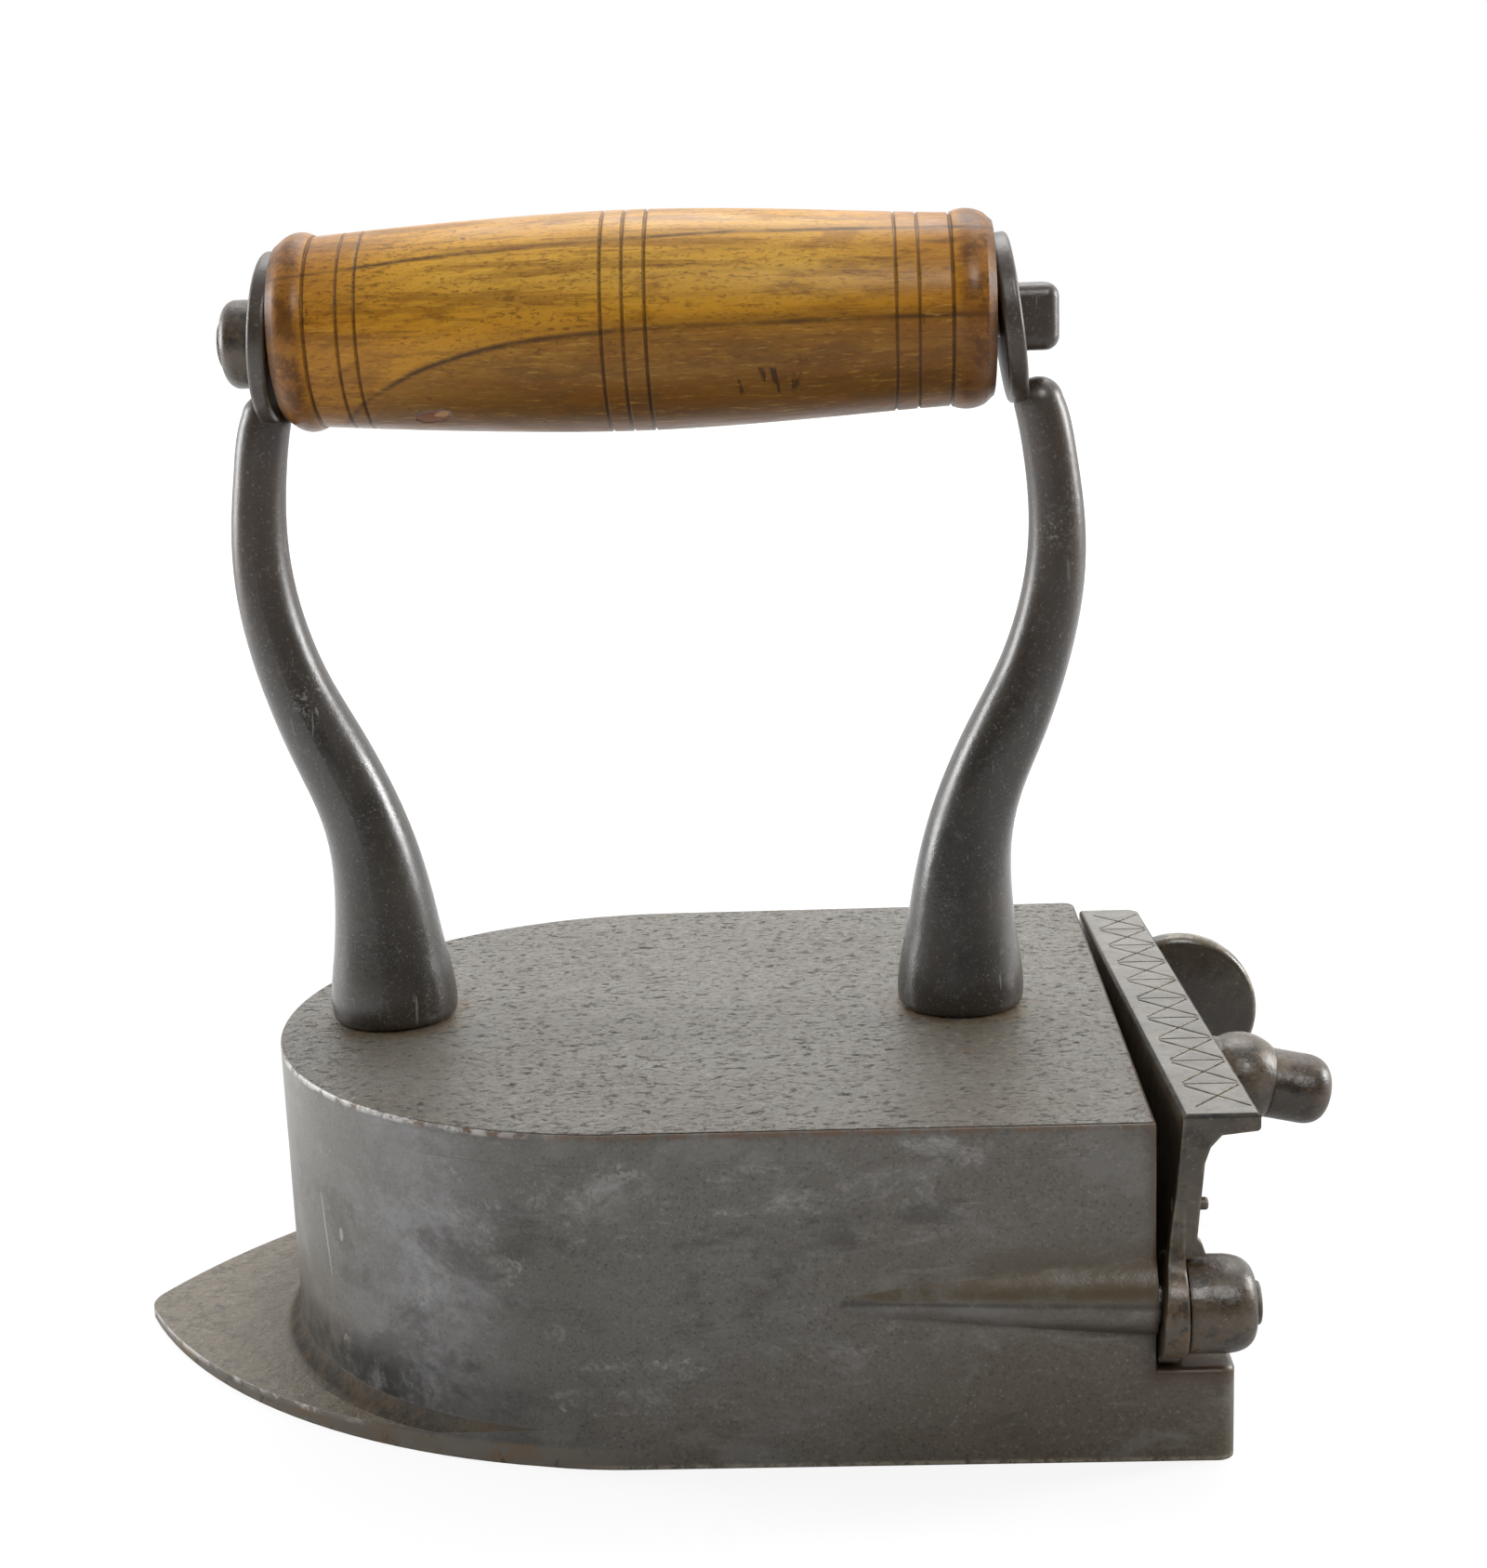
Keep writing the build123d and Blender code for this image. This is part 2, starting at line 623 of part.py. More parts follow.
with BuildPart() as gate_plate:
    near_section = gate_section(-half_width, gate_near_top, gate_near_lean)
    far_section = gate_section(gate_far, gate_far_top, gate_far_lean)
    loft(sections=[near_section, far_section], ruled=True)
    long_edges = gate_plate.edges().filter_by(lambda edge: edge.length > half_width).sort_by(Axis.Z)
    near_edges = gate_plate.edges().group_by(Axis.Y)[0].sort_by(Axis.Z)
    fillet(long_edges[-3:] + near_edges[-1:], radius=flange_edge_round)
    corner_x = gate_front + gate_far_lean + flange_deep
    with BuildSketch(Plane.XY):
        with BuildLine():
            ThreePointArc(
                (corner_x + overrun, gate_far - gate_corner_round - overrun),
                (
                    corner_x - gate_corner_round * (1 - math.sqrt(0.5)),
                    gate_far - gate_corner_round * (1 - math.sqrt(0.5)),
                ),
                (corner_x - gate_corner_round - overrun, gate_far + overrun),
            )
            Polyline(
                (corner_x - gate_corner_round - overrun, gate_far + overrun),
                (corner_x + overrun, gate_far + overrun),
                (corner_x + overrun, gate_far - gate_corner_round - overrun),
            )
        make_face()
    extrude(amount=gate_near_top + overrun, mode=Mode.SUBTRACT)
    # The near foot is cut back to the ear's round
    with Locations((gate_front - overrun, -half_width - overrun, gate_foot - overrun)):
        Box(
            gate_foot_thick + overrun * 2,
            pin_y + half_width + overrun,
            pin_height - gate_foot + overrun,
            align=(Align.MIN, Align.MIN, Align.MIN),
            mode=Mode.SUBTRACT,
        )
    add(gate_ear.part)
    # A spot face behind the ear clears the cap
    with Locations(along_x(gate_front + gate_foot_thick, pin_y, pin_height)):
        Cylinder(
            ear_dia / 2 + body_clear / 2,
            cap_length + cap_dome,
            align=(Align.CENTER, Align.CENTER, Align.MIN),
            mode=Mode.SUBTRACT,
        )
    # A small gusset stands on the plate just above the ear
    gusset_foot = pin_height + ear_dia / 2 + body_clear
    with BuildSketch(Plane.XZ.offset(-pin_y)):
        with BuildLine():
            Polyline(
                (gate_front + gate_neck_thick, gusset_foot),
                (gate_front + gate_foot_thick + gusset_out, gusset_foot),
                (gate_front + gate_foot_thick + gusset_out * 0.8, gusset_foot + gusset_high * 0.35),
                (gate_front + gate_neck_thick, gusset_foot + gusset_high),
                close=True,
            )
        make_face()
    extrude(amount=half_width + pin_y)
    with Locations(stud_plane(-stud_root / 2)):
        Cylinder(
            stud_boss_dia / 2,
            stud_boss_long + stud_root / 2,
            align=(Align.CENTER, Align.CENTER, Align.MIN),
        )
    with Locations(stud_plane(-stud_root)):
        Cylinder(
            stud_dia / 2,
            stud_boss_long + stud_root + overrun,
            align=(Align.CENTER, Align.CENTER, Align.MIN),
            mode=Mode.SUBTRACT,
        )
    with Locations(along_x(gate_front - overrun, pin_y, pin_height)):
        Cylinder(
            pin_dia / 2 + running_clear,
            gate_foot_thick + overrun * 2,
            align=(Align.CENTER, Align.CENTER, Align.MIN),
            mode=Mode.SUBTRACT,
        )
    # Border cut in the top of the flange: crosses with a bar between each two
    engrave_x0 = gate_front + gate_far_lean + engrave_front
    engrave_y0 = -half_width + engrave_near
    engrave_plane = Plane(
        origin=(engrave_x0, engrave_y0, gate_near_top + engrave_tilt * engrave_near),
        x_dir=(1, 0, 0),
        z_dir=(0, -engrave_tilt, 1),
    )
    lean_slope = (gate_far_lean - gate_near_lean) / (half_width + gate_far)

    engrave_across = flange_deep - engrave_front - engrave_rear

    def engrave_at(count, across):
        """A point of the border: so many crosses from the near end, at a share of its width."""
        v = count * engrave_pitch
        shift = gate_near_lean - gate_far_lean + lean_slope * (v + engrave_near)
        return (shift + across * engrave_across, v)

    with BuildSketch(engrave_plane):
        strokes = []
        for i in range(engrave_repeats):
            first = i + (1 - engrave_cross_share) / 2
            last = first + engrave_cross_share
            strokes += [(first, 0, last, 1), (first, 1, last, 0)]
            if i:
                strokes += [(i, 0, i, 1)]
        for start, side, end, other_side in strokes:
            with BuildLine():
                stroke = Line(engrave_at(start, side), engrave_at(end, other_side))
            trace(stroke, line_width=engrave_wide)
    extrude(amount=-engrave_deep, mode=Mode.SUBTRACT)
    with Locations(along_x(gate_front - overrun, -half_width + gate_rivet_inset, gate_rivet_height)):
        Cylinder(
            gate_rivet_dia / 2,
            flange_deep,
            align=(Align.CENTER, Align.CENTER, Align.MIN),
            mode=Mode.SUBTRACT,
        )
gate_plate.part.label = "gate_plate"
export_step(gate_plate.part, "parts/gate_plate.step")

with BuildPart() as gate_rivet:
    with Locations(along_x(gate_front + gate_near_lean, -half_width + gate_rivet_inset, gate_rivet_height)):
        Cylinder(
            gate_rivet_dia / 2,
            gate_neck_thick + gate_rivet_out,
            align=(Align.CENTER, Align.CENTER, Align.MIN),
        )
    fillet(gate_rivet.edges().group_by(Axis.X)[-1], radius=gate_rivet_out / 2)
gate_rivet.part.label = "gate_rivet"
export_step(gate_rivet.part, "parts/gate_rivet.step")

# Thumb fin: an upright disc seated on the gate's rear face
fin_x = gate_front + fin_out
fin_back = gate_front + gate_foot_thick / 2
with BuildPart() as gate_thumb_fin:
    with BuildSketch(Plane.XZ.offset(-fin_place - fin_thick / 2)):
        with Locations((fin_x, fin_height)):
            Circle(fin_dia / 2)
        with Locations((fin_back, fin_height)):
            Rectangle(fin_dia, fin_dia, align=(Align.MAX, Align.CENTER), mode=Mode.SUBTRACT)
    extrude(amount=fin_thick)
    fillet(gate_thumb_fin.edges().filter_by(GeomType.CIRCLE), radius=fin_edge_round)
    add(gate_plate.part, mode=Mode.SUBTRACT)
gate_thumb_fin.part.label = "gate_thumb_fin"
export_step(gate_thumb_fin.part, "parts/gate_thumb_fin.step")

# Latch: a hooked lever with a ball and a domed knob, turning on a stud in the gate
lever_front = stud_boss_long + lever_gap
head_front = knob_place + lever_gap
knob_bore = stud_head_dia / 2 + lever_gap

with BuildPart() as latch_stud:
    with Locations(stud_plane(-stud_root)):
        Cylinder(stud_dia / 2, head_front + stud_root, align=(Align.CENTER, Align.CENTER, Align.MIN))
    with Locations(stud_plane(head_front)):
        Cylinder(stud_head_dia / 2, stud_head_long, align=(Align.CENTER, Align.CENTER, Align.MIN))
latch_stud.part.label = "latch_stud"
export_step(latch_stud.part, "parts/latch_stud.step")

ball_radius = ball_dia / 2
hub_radius = hub_dia / 2
ball_start = ball_place - math.sqrt(ball_radius**2 - hub_radius**2)
seam_radius = math.sqrt(ball_radius**2 - (knob_place - ball_place) ** 2)
lever_bore = stud_dia / 2 + running_clear
stud_profile = Plane(origin=stud_point(0), x_dir=stud_dir, z_dir=(0, -1, 0))
stud_axis = Axis(stud_point(0), stud_dir)

with BuildPart() as latch_lever:
    with BuildSketch(stud_profile):
        with BuildLine():
            Polyline((ball_start, hub_radius), (lever_front, hub_radius), (lever_front, lever_bore),
                     (knob_place, lever_bore), (knob_place, seam_radius))
            ThreePointArc((knob_place, seam_radius), (ball_place, ball_radius), (ball_start, hub_radius))
        make_face()
    revolve(axis=stud_axis)
    with BuildSketch(stud_plane(lever_front)):
        with BuildLine():
            Polyline(
                (-shank_left, 0), (-shank_left, -nose_outer), (nose_tip, -nose_outer),
                (nose_tip, -nose_inner), (shank_right, -nose_inner), (shank_right, 0),
                close=True,
            )
        make_face()
        Circle(lever_bore, mode=Mode.SUBTRACT)
    extrude(amount=arm_thick)
latch_lever.part.label = "latch_lever"
export_step(latch_lever.part, "parts/latch_lever.step")

knob_rear = knob_place + knob_length
knob_radius = knob_dia / 2
with BuildPart() as latch_knob:
    with BuildSketch(stud_profile):
        with BuildLine():
            knob_floor = head_front + stud_head_long + lever_gap
            Polyline((knob_rear, 0), (knob_floor, 0), (knob_floor, knob_bore), (knob_place, knob_bore),
                     (knob_place, knob_radius), (knob_rear - knob_radius * knob_dome_share, knob_radius))
            Spline(
                (knob_rear - knob_radius * knob_dome_share, knob_radius),
                (knob_rear, 0),
                tangents=((1, 0), (0, -1)),
            )
        make_face()
    revolve(axis=stud_axis)
latch_knob.part.label = "latch_knob"
export_step(latch_knob.part, "parts/latch_knob.step")

# Keeper: a hooked lug on the ledge, drawn round the lever's nose where the latch is turned home
turn = math.radians(latch_angle)
arm_mid = lever_front + arm_thick / 2
arm_axis_z = stud_point(arm_mid)[2]


def latched(across, up):
    """Where a point of the lever's arm lies, across and up, with the latch turned home."""
    y = across * math.cos(turn) - up * math.sin(turn)
    rise = across * math.sin(turn) + up * math.cos(turn)
    return (y, arm_axis_z + rise * math.cos(droop))


lip_tip = latched(shank_right + hook_gap, -nose_inner + hook_gap)
lip_root = latched(nose_tip + hook_gap, -nose_inner + hook_gap)
post_top = latched(nose_tip + hook_gap, -nose_outer)
keeper_rear = sole_rear - keeper_inset
keeper_back = post_top[0] + keeper_post
with BuildPart() as latch_keeper:
    with BuildSketch(Plane(origin=(keeper_rear, 0, 0), x_dir=(0, 1, 0), z_dir=(1, 0, 0))):
        with BuildLine():
            Polyline(
                (post_top[0], ledge_height),
                post_top,
                lip_root,
                lip_tip,
                (lip_tip[0], lip_tip[1] + keeper_lip),
                (lip_tip[0] + keeper_lip / 2, lip_root[1] + keeper_lip),
                (keeper_back - keeper_lip / 2, lip_root[1] + keeper_lip),
                (keeper_back, lip_root[1] + keeper_lip / 2),
                (keeper_back, ledge_height),
                close=True,
            )
        make_face()
    extrude(amount=-keeper_thick)
    with Locations((keeper_rear - keeper_thick / 2, (post_top[0] + keeper_back) / 2, ledge_height)):
        Cylinder(keeper_tenon_dia / 2, keeper_tenon_long, align=(Align.CENTER, Align.CENTER, Align.MAX))
latch_keeper.part.label = "latch_keeper"
export_step(latch_keeper.part, "parts/latch_keeper.step")

# The keeper's tenon sits in a hole in the ledge, so the body is finished here
with BuildPart() as box_finished:
    add(box_body.part)
    add(top_plate_rivets.part, mode=Mode.SUBTRACT)
    with Locations((keeper_rear - keeper_thick / 2, (post_top[0] + keeper_back) / 2, ledge_height)):
        Cylinder(
            keeper_tenon_dia / 2,
            keeper_tenon_long,
            align=(Align.CENTER, Align.CENTER, Align.MAX),
            mode=Mode.SUBTRACT,
        )
box_finished.part.label = "box_body"
export_step(box_finished.part, "parts/box_body.step")

# Heater slug: the chamber's own outline, less the clearance, lying on the ribs
slug_floor = ledge_height + rib_high + body_clear
slug_high = wall_top - nut_high - tenon_tail - slug_top_clear - slug_floor
with BuildPart() as heater_slug:
    with BuildSketch(Plane.XY.offset(slug_floor)):
        plan(wall + slug_clear, gate_front - slug_play)
    extrude(amount=slug_high)
    fillet(heater_slug.edges().group_by(Axis.Z)[-1], radius=slug_round)
    fillet(heater_slug.edges().group_by(Axis.Z)[0], radius=slug_round)
    with Locations((gate_front - slug_play - tong_hole_inset, 0, slug_floor + slug_high)):
        Hole(tong_hole_dia / 2)
heater_slug.part.label = "heater_slug"
export_step(heater_slug.part, "parts/heater_slug.step")
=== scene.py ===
import json
import math
import types

import bpy
from mathutils import Matrix, Vector

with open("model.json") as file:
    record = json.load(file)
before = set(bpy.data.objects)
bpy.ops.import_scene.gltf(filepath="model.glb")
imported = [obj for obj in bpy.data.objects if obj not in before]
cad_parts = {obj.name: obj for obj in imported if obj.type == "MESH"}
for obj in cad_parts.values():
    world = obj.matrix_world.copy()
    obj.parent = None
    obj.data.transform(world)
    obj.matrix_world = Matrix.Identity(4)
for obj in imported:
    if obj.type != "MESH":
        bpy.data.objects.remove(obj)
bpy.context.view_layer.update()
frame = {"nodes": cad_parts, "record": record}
nodes = frame["nodes"]

MM = 0.001

# Places of the iron's forms, as in the CAD frame
POST_OUT = 43 * MM
POST_FOOT = 9.3 * MM
PLATE_TOP = 48.1 * MM
SEAM_HEIGHT = 43.6 * MM
BOSS_HEIGHT = 23.6 * MM
WALL_OUT = 52.8 * MM
NOSE_START = -4.7 * MM
NOSE_LONG = 55 * MM
TOE_TOP = 4.2 * MM
TOE_SLOPE = 0.03125
FLANGE_TOP = 48.13 * MM
FLANGE_FALL = 0.01843
FLANGE_FRONT = 67 * MM

# The casting's marks in millimetres: centres and half sizes of its scuffed areas, then of its
# single marks, these with tilt in radians, raggedness, amount and colour
SCUFFED = (
    ((20, -53, 40), (16, 6, 4)), ((-6, -52, 37), (14, 6, 7)), ((25, -53, 20), (8, 6, 4)),
    ((-28, -48, 29), (10, 9, 12)), ((-3, -53, 12), (16, 6, 4)), ((42, -53, 45), (18, 6, 2)),
)
SINGLE_MARKS = (
    ((-49.1, -31.2, 25.7), (0.17, 2.2, 7.6), 0.08, 0.3, 0.5, (186, 182, 176)),
    ((-46.2, -34.6, 27.2), (0.4, 1, 1.2), 0.0, 1.0, 0.6, (176, 172, 164)),
    ((-46.4, -34.5, 10.4), (0.7, 1.5, 1.7), 0.5, 1.8, 0.9, (196, 186, 160)),
    ((-79.3, -11.7, 2.0), (0.9, 0.9, 1.2), 0.0, 0.8, 0.9, (205, 190, 158)),
)
RING_MARK = (-14.5, -52.2, 19.8)

# The grip in millimetres: scribed lines, and the two growth lines of its wood. The upper one
# is a flat arch, the lower one is level and falls away towards the toe's end
SCRIBED = (-46.6, -41.9, -39.3, -5.2, -2.2, 0.9, 35.3, 38.5, 43.1)
GRIP_MIDDLE = -1.5
UPPER_LINE_X = 20.0
UPPER_LINE_TOP = 162.6
UPPER_LINE_BEND = 0.00085
LOWER_LINE_X = -38.6
LOWER_LINE_TOP = 150.5
LOWER_LINE_DROP = 8.9
LOWER_LINE_REACH = 13.5

# Single marks of the grip, also in millimetres: centre, half size, tilt and raggedness
DENT = ((-29.9, -8.0, 138.9), (3.1, 3.0, 1.1), 0.15, 0.7)
DENT_PALE = ((-28.6, -8.4, 139.2), (1.2, 3.0, 0.5), 0.1, 0.8)
SCRATCHED = ((17.5, -12.0, 142.3), (5.5, 3.0, 2.6), 0.0, 0.8)

# Floor and lamps
FLOOR_REACH = 4.0
FLOOR_DROP = 0.05 * MM
FLOOR_DIM = (0.42, 0.42, 0.42, 1)
FLOOR_BRIGHT = (0.85, 0.85, 0.85, 1)
FLOOR_SEEN = (0.9, 0.9, 0.9, 1)
LAMP_AIM = (0, 0, 70 * MM)

# The photograph's camera
PHOTO_HIGH = 1687
FOCAL_PIXELS = 2555.86
SENSOR_HIGH = 36.0
CAMERA_PLACE = (25.58 * MM, -344.55 * MM, 160.79 * MM)
CAMERA_RIGHT = (0.99879, 0.03285, -0.03653)
CAMERA_UP = (0.02834, 0.22225, 0.97458)

# Sockets of ShaderNodeMix, whose names repeat for each type of data
MIX_FACTOR = 0
MIX_NUMBERS = (2, 3)
MIX_COLOURS = (6, 7)
MIX_NUMBER_OUT = 0
MIX_COLOUR_OUT = 2


# Small helpers for node materials

def srgb(r, g, b):
    """A colour as it looks on a screen, 0 to 255, as the linear colour of a node."""
    def one(c):
        c /= 255
        return c / 12.92 if c <= 0.04045 else ((c + 0.055) / 1.055) ** 2.4
    return (one(r), one(g), one(b), 1.0)


def feed(tree, socket, value):
    """Link a socket to another node's socket, or give it a plain value."""
    if isinstance(value, bpy.types.NodeSocket):
        tree.links.new(value, socket)
    else:
        socket.default_value = value


def add_node(tree, kind, inputs=None, **settings):
    """A new node with its settings made and its inputs fed."""
    made = tree.nodes.new(kind)
    for key, value in settings.items():
        setattr(made, key, value)
    for key, value in (inputs or {}).items():
        feed(tree, made.inputs[key], value)
    return made


def smooth_step(tree, value, low, high, to_low=0.0, to_high=1.0):
    """A smooth step from to_low, where the value is low, to to_high, where it is high."""
    inputs = {
        "Value": value,
        "From Min": low,
        "From Max": high,
        "To Min": to_low,
        "To Max": to_high,
    }
    return add_node(
        tree,
        "ShaderNodeMapRange",
        inputs,
        interpolation_type="SMOOTHSTEP",
    ).outputs[0]


class Surface:
    """A material under construction: its colour and roughness are sockets or plain values."""

    def __init__(self, name, colour, roughness, soft_edge=None):
        self.material = bpy.data.materials.new(name)
        self.material.use_nodes = True
        self.tree = self.material.node_tree
        self.tree.nodes.clear()
        self.output = self.tree.nodes.new("ShaderNodeOutputMaterial")
        self.shader = self.tree.nodes.new("ShaderNodeBsdfPrincipled")
        self.tree.links.new(self.shader.outputs[0], self.output.inputs["Surface"])
        coords = self.tree.nodes.new("ShaderNodeTexCoord")
        self.place = coords.outputs["Object"]
        self.x, self.y, self.z = self.add("ShaderNodeSeparateXYZ", {0: self.place}).outputs
        self.nx, self.ny, self.nz = self.add(
            "ShaderNodeSeparateXYZ",
            {0: coords.outputs["Normal"]},
        ).outputs
        self.colour = colour
        self.roughness = roughness
        self.bumps = []
        self.soft = None
        if soft_edge is not None:
            self.soften(soft_edge)

    def add(self, kind, inputs=None, **settings):
        return add_node(self.tree, kind, inputs, **settings)

    def soften(self, radius):
        """Round the shading of sharp edges by a radius."""
        self.soft = self.add("ShaderNodeBevel", {"Radius": radius}, samples=4).outputs[0]

    def math(self, operation, a, b=0.0, c=0.0):
        return self.add("ShaderNodeMath", {0: a, 1: b, 2: c}, operation=operation).outputs[0]

    def step(self, value, low, high, to_low=0.0, to_high=1.0):
        return smooth_step(self.tree, value, low, high, to_low, to_high)

    def scaled(self, sx=1.0, sy=1.0, sz=1.0, turn=(0.0, 0.0, 0.0)):
        return self.add(
            "ShaderNodeMapping",
            {"Vector": self.place, "Scale": (sx, sy, sz), "Rotation": turn},
        ).outputs[0]

    def noise(self, scale, detail=4.0, rough=0.55, warp=0.0, place=None):
        made = self.add(
            "ShaderNodeTexNoise",
            {
                "Vector": place or self.place,
                "Scale": scale,
                "Detail": detail,
                "Roughness": rough,
                "Distortion": warp,
            },
        )
        return made.outputs["Fac"]

    def patches(self, low, high, *noise, floor=0.0, top=1.0):
        """Soft patches: a step of a noise that is given by its scale, detail and roughness."""
        return self.step(self.noise(*noise), low, high, floor, top)

    def gap(self, value, centre):
        """How far a value is from a centre, on either side."""
        return self.math("ABSOLUTE", self.math("SUBTRACT", value, centre))

    def times(self, *values):
        out = values[0]
        for value in values[1:]:
            out = self.math("MULTIPLY", out, value)
        return out

    def near(self, value, centre, width):
        """1 where the value is at the centre, falling to 0 a width away."""
        return self.step(self.gap(value, centre), 0.0, width, 1.0, 0.0)

    def spot(self, centre, size, tilt=0.0, ragged=0.0):
        """1 inside an oval mark of half sizes (x, y, z) in millimetres round a centre."""
        shift = self.add(
            "ShaderNodeVectorMath",
            {0: self.place, 1: [c * MM for c in centre]},
            operation="SUBTRACT",
        )
        turned = self.add(
            "ShaderNodeVectorRotate",
            {"Vector": shift.outputs[0], "Axis": (0, 1, 0), "Angle": tilt},
        )
        ratio = self.add(
            "ShaderNodeVectorMath",
            {0: turned.outputs[0], 1: [c * MM for c in size]},
            operation="DIVIDE",
        )
        reach = self.add(
            "ShaderNodeVectorMath",
            {0: ratio.outputs[0]},
            operation="LENGTH",
        ).outputs["Value"]
        if ragged:
            reach = self.math(
                "ADD",
                reach,
                self.times(self.math("SUBTRACT", self.noise(1200, 3), 0.5), ragged),
            )
        return self.step(reach, 1.0, 0.75)

    def distance_to(self, centre):
        """Distance from a point given in millimetres."""
        made = self.add(
            "ShaderNodeVectorMath",
            {0: self.place, 1: [c * MM for c in centre]},
            operation="DISTANCE",
        )
        return made.outputs["Value"]

    def distance(self, cx, cy):
        """Distance from a line along Z through (cx, cy)."""
        da = self.math("SUBTRACT", self.x, cx)
        db = self.math("SUBTRACT", self.y, cy)
        return self.math("SQRT", self.math("ADD", self.times(da, da), self.times(db, db)))

    def blend(self, amount, colour):
        """Lay a colour over the present one by an amount."""
        below, above = MIX_COLOURS
        inputs = {MIX_FACTOR: amount, below: self.colour, above: colour}
        mix = self.add("ShaderNodeMix", inputs, data_type="RGBA", clamp_factor=True)
        self.colour = mix.outputs[MIX_COLOUR_OUT]

    def rough(self, amount, value):
        """Bring the roughness towards a value by an amount."""
        below, above = MIX_NUMBERS
        inputs = {MIX_FACTOR: amount, below: self.roughness, above: value}
        mix = self.add("ShaderNodeMix", inputs, data_type="FLOAT", clamp_factor=True)
        self.roughness = mix.outputs[MIX_NUMBER_OUT]

    def bump(self, height, depth):
        """Raise the surface where the height is 1, by a depth in metres."""
        self.bumps.append((height, depth))

    def wear(self, scale=220, low=0.38, high=0.62):
        """1 along sharp edges, broken up by noise."""
        hard = self.add("ShaderNodeNewGeometry").outputs["True Normal"]
        dot = self.add(
            "ShaderNodeVectorMath",
            {0: self.soft, 1: hard},
            operation="DOT_PRODUCT",
        ).outputs["Value"]
        return self.times(self.step(dot, 0.995, 0.9), self.step(self.noise(scale, 5), low, high))

    def finish(self, **constants):
        """Feed the shader: relief, colour, roughness and constants, named as its sockets are."""
        normal = self.soft
        for height, depth in self.bumps:
            inputs = {"Height": height, "Distance": depth, "Strength": 1.0}
            if normal is not None:
                inputs["Normal"] = normal
            normal = self.add("ShaderNodeBump", inputs).outputs[0]
        if normal is not None:
            self.tree.links.new(normal, self.shader.inputs["Normal"])
        feed(self.tree, self.shader.inputs["Base Color"], self.colour)
        feed(self.tree, self.shader.inputs["Roughness"], self.roughness)
        for key, value in constants.items():
            self.shader.inputs[key].default_value = value
        return self.material


# Materials

def body_zones(s):
    """Where the casting's surfaces differ: each zone is 1 inside it and 0 outside.

    The halo is the brown band above the boss, rust with painted light on the boss's lit upper
    side.
    Two fields are no zones: round_nose is 1 on the nose's outline and grows outwards, and pits is
    the noise that colours and sinks the plate.
    """
    zone = types.SimpleNamespace()
    zone.plate = s.times(s.step(s.nz, 0.75, 0.95), s.step(s.z, 46.6 * MM, 47.6 * MM))
    zone.toe = s.times(
        s.step(s.nz, 0.25, 0.8),
        s.step(s.z, 11 * MM, 7 * MM),
        s.step(s.x, 0.0, -8 * MM),
    )
    zone.boss = s.times(
        s.step(s.x, -2 * MM, 20 * MM),
        s.step(s.y, -WALL_OUT - 0.02 * MM, -WALL_OUT - 0.2 * MM),
    )
    zone.tops = s.math("MAXIMUM", zone.plate, zone.toe)
    zone.side = s.math("SUBTRACT", 1.0, zone.tops)
    dx = s.math("DIVIDE", s.math("SUBTRACT", s.x, NOSE_START), NOSE_LONG)
    dy = s.math("DIVIDE", s.y, WALL_OUT)
    zone.round_nose = s.math("SQRT", s.math("ADD", s.times(dx, dx), s.times(dy, dy)))
    zone.pits = s.noise(900, 7, 0.76, 0.3, s.scaled(0.6, 1, 1))
    zone.halo = s.times(
        s.step(s.x, 5 * MM, 60 * MM),
        s.near(s.z, 28.5 * MM, 5.5 * MM),
        s.patches(0.3, 0.6, 90, 6, 0.7),
    )
    return zone


def paint_sides(s):
    """Sides: brown-grey, in soft clouds, with a fine grain of dark and pale points."""
    s.blend(s.patches(0.35, 0.7, 28, 5, 0.6, top=0.6), srgb(84, 77, 66))
    s.blend(s.patches(0.42, 0.62, 9, 3, top=0.5), srgb(110, 107, 102))
    s.blend(
        s.times(s.step(s.x, 10 * MM, 55 * MM), s.step(s.z, 38 * MM, 10 * MM, 0.3, 0.9)),
        srgb(92, 82, 66),
    )
    s.blend(
        s.times(s.step(s.z, 22 * MM, 2 * MM), s.patches(0.35, 0.65, 40, 5), 0.5),
        srgb(86, 75, 58),
    )
    grit = s.noise(2300, 3, 0.65)
    s.blend(s.times(s.step(grit, 0.46, 0.32), 0.6), srgb(46, 41, 33))
    s.blend(s.times(s.step(grit, 0.6, 0.7), 0.45), srgb(156, 153, 147))


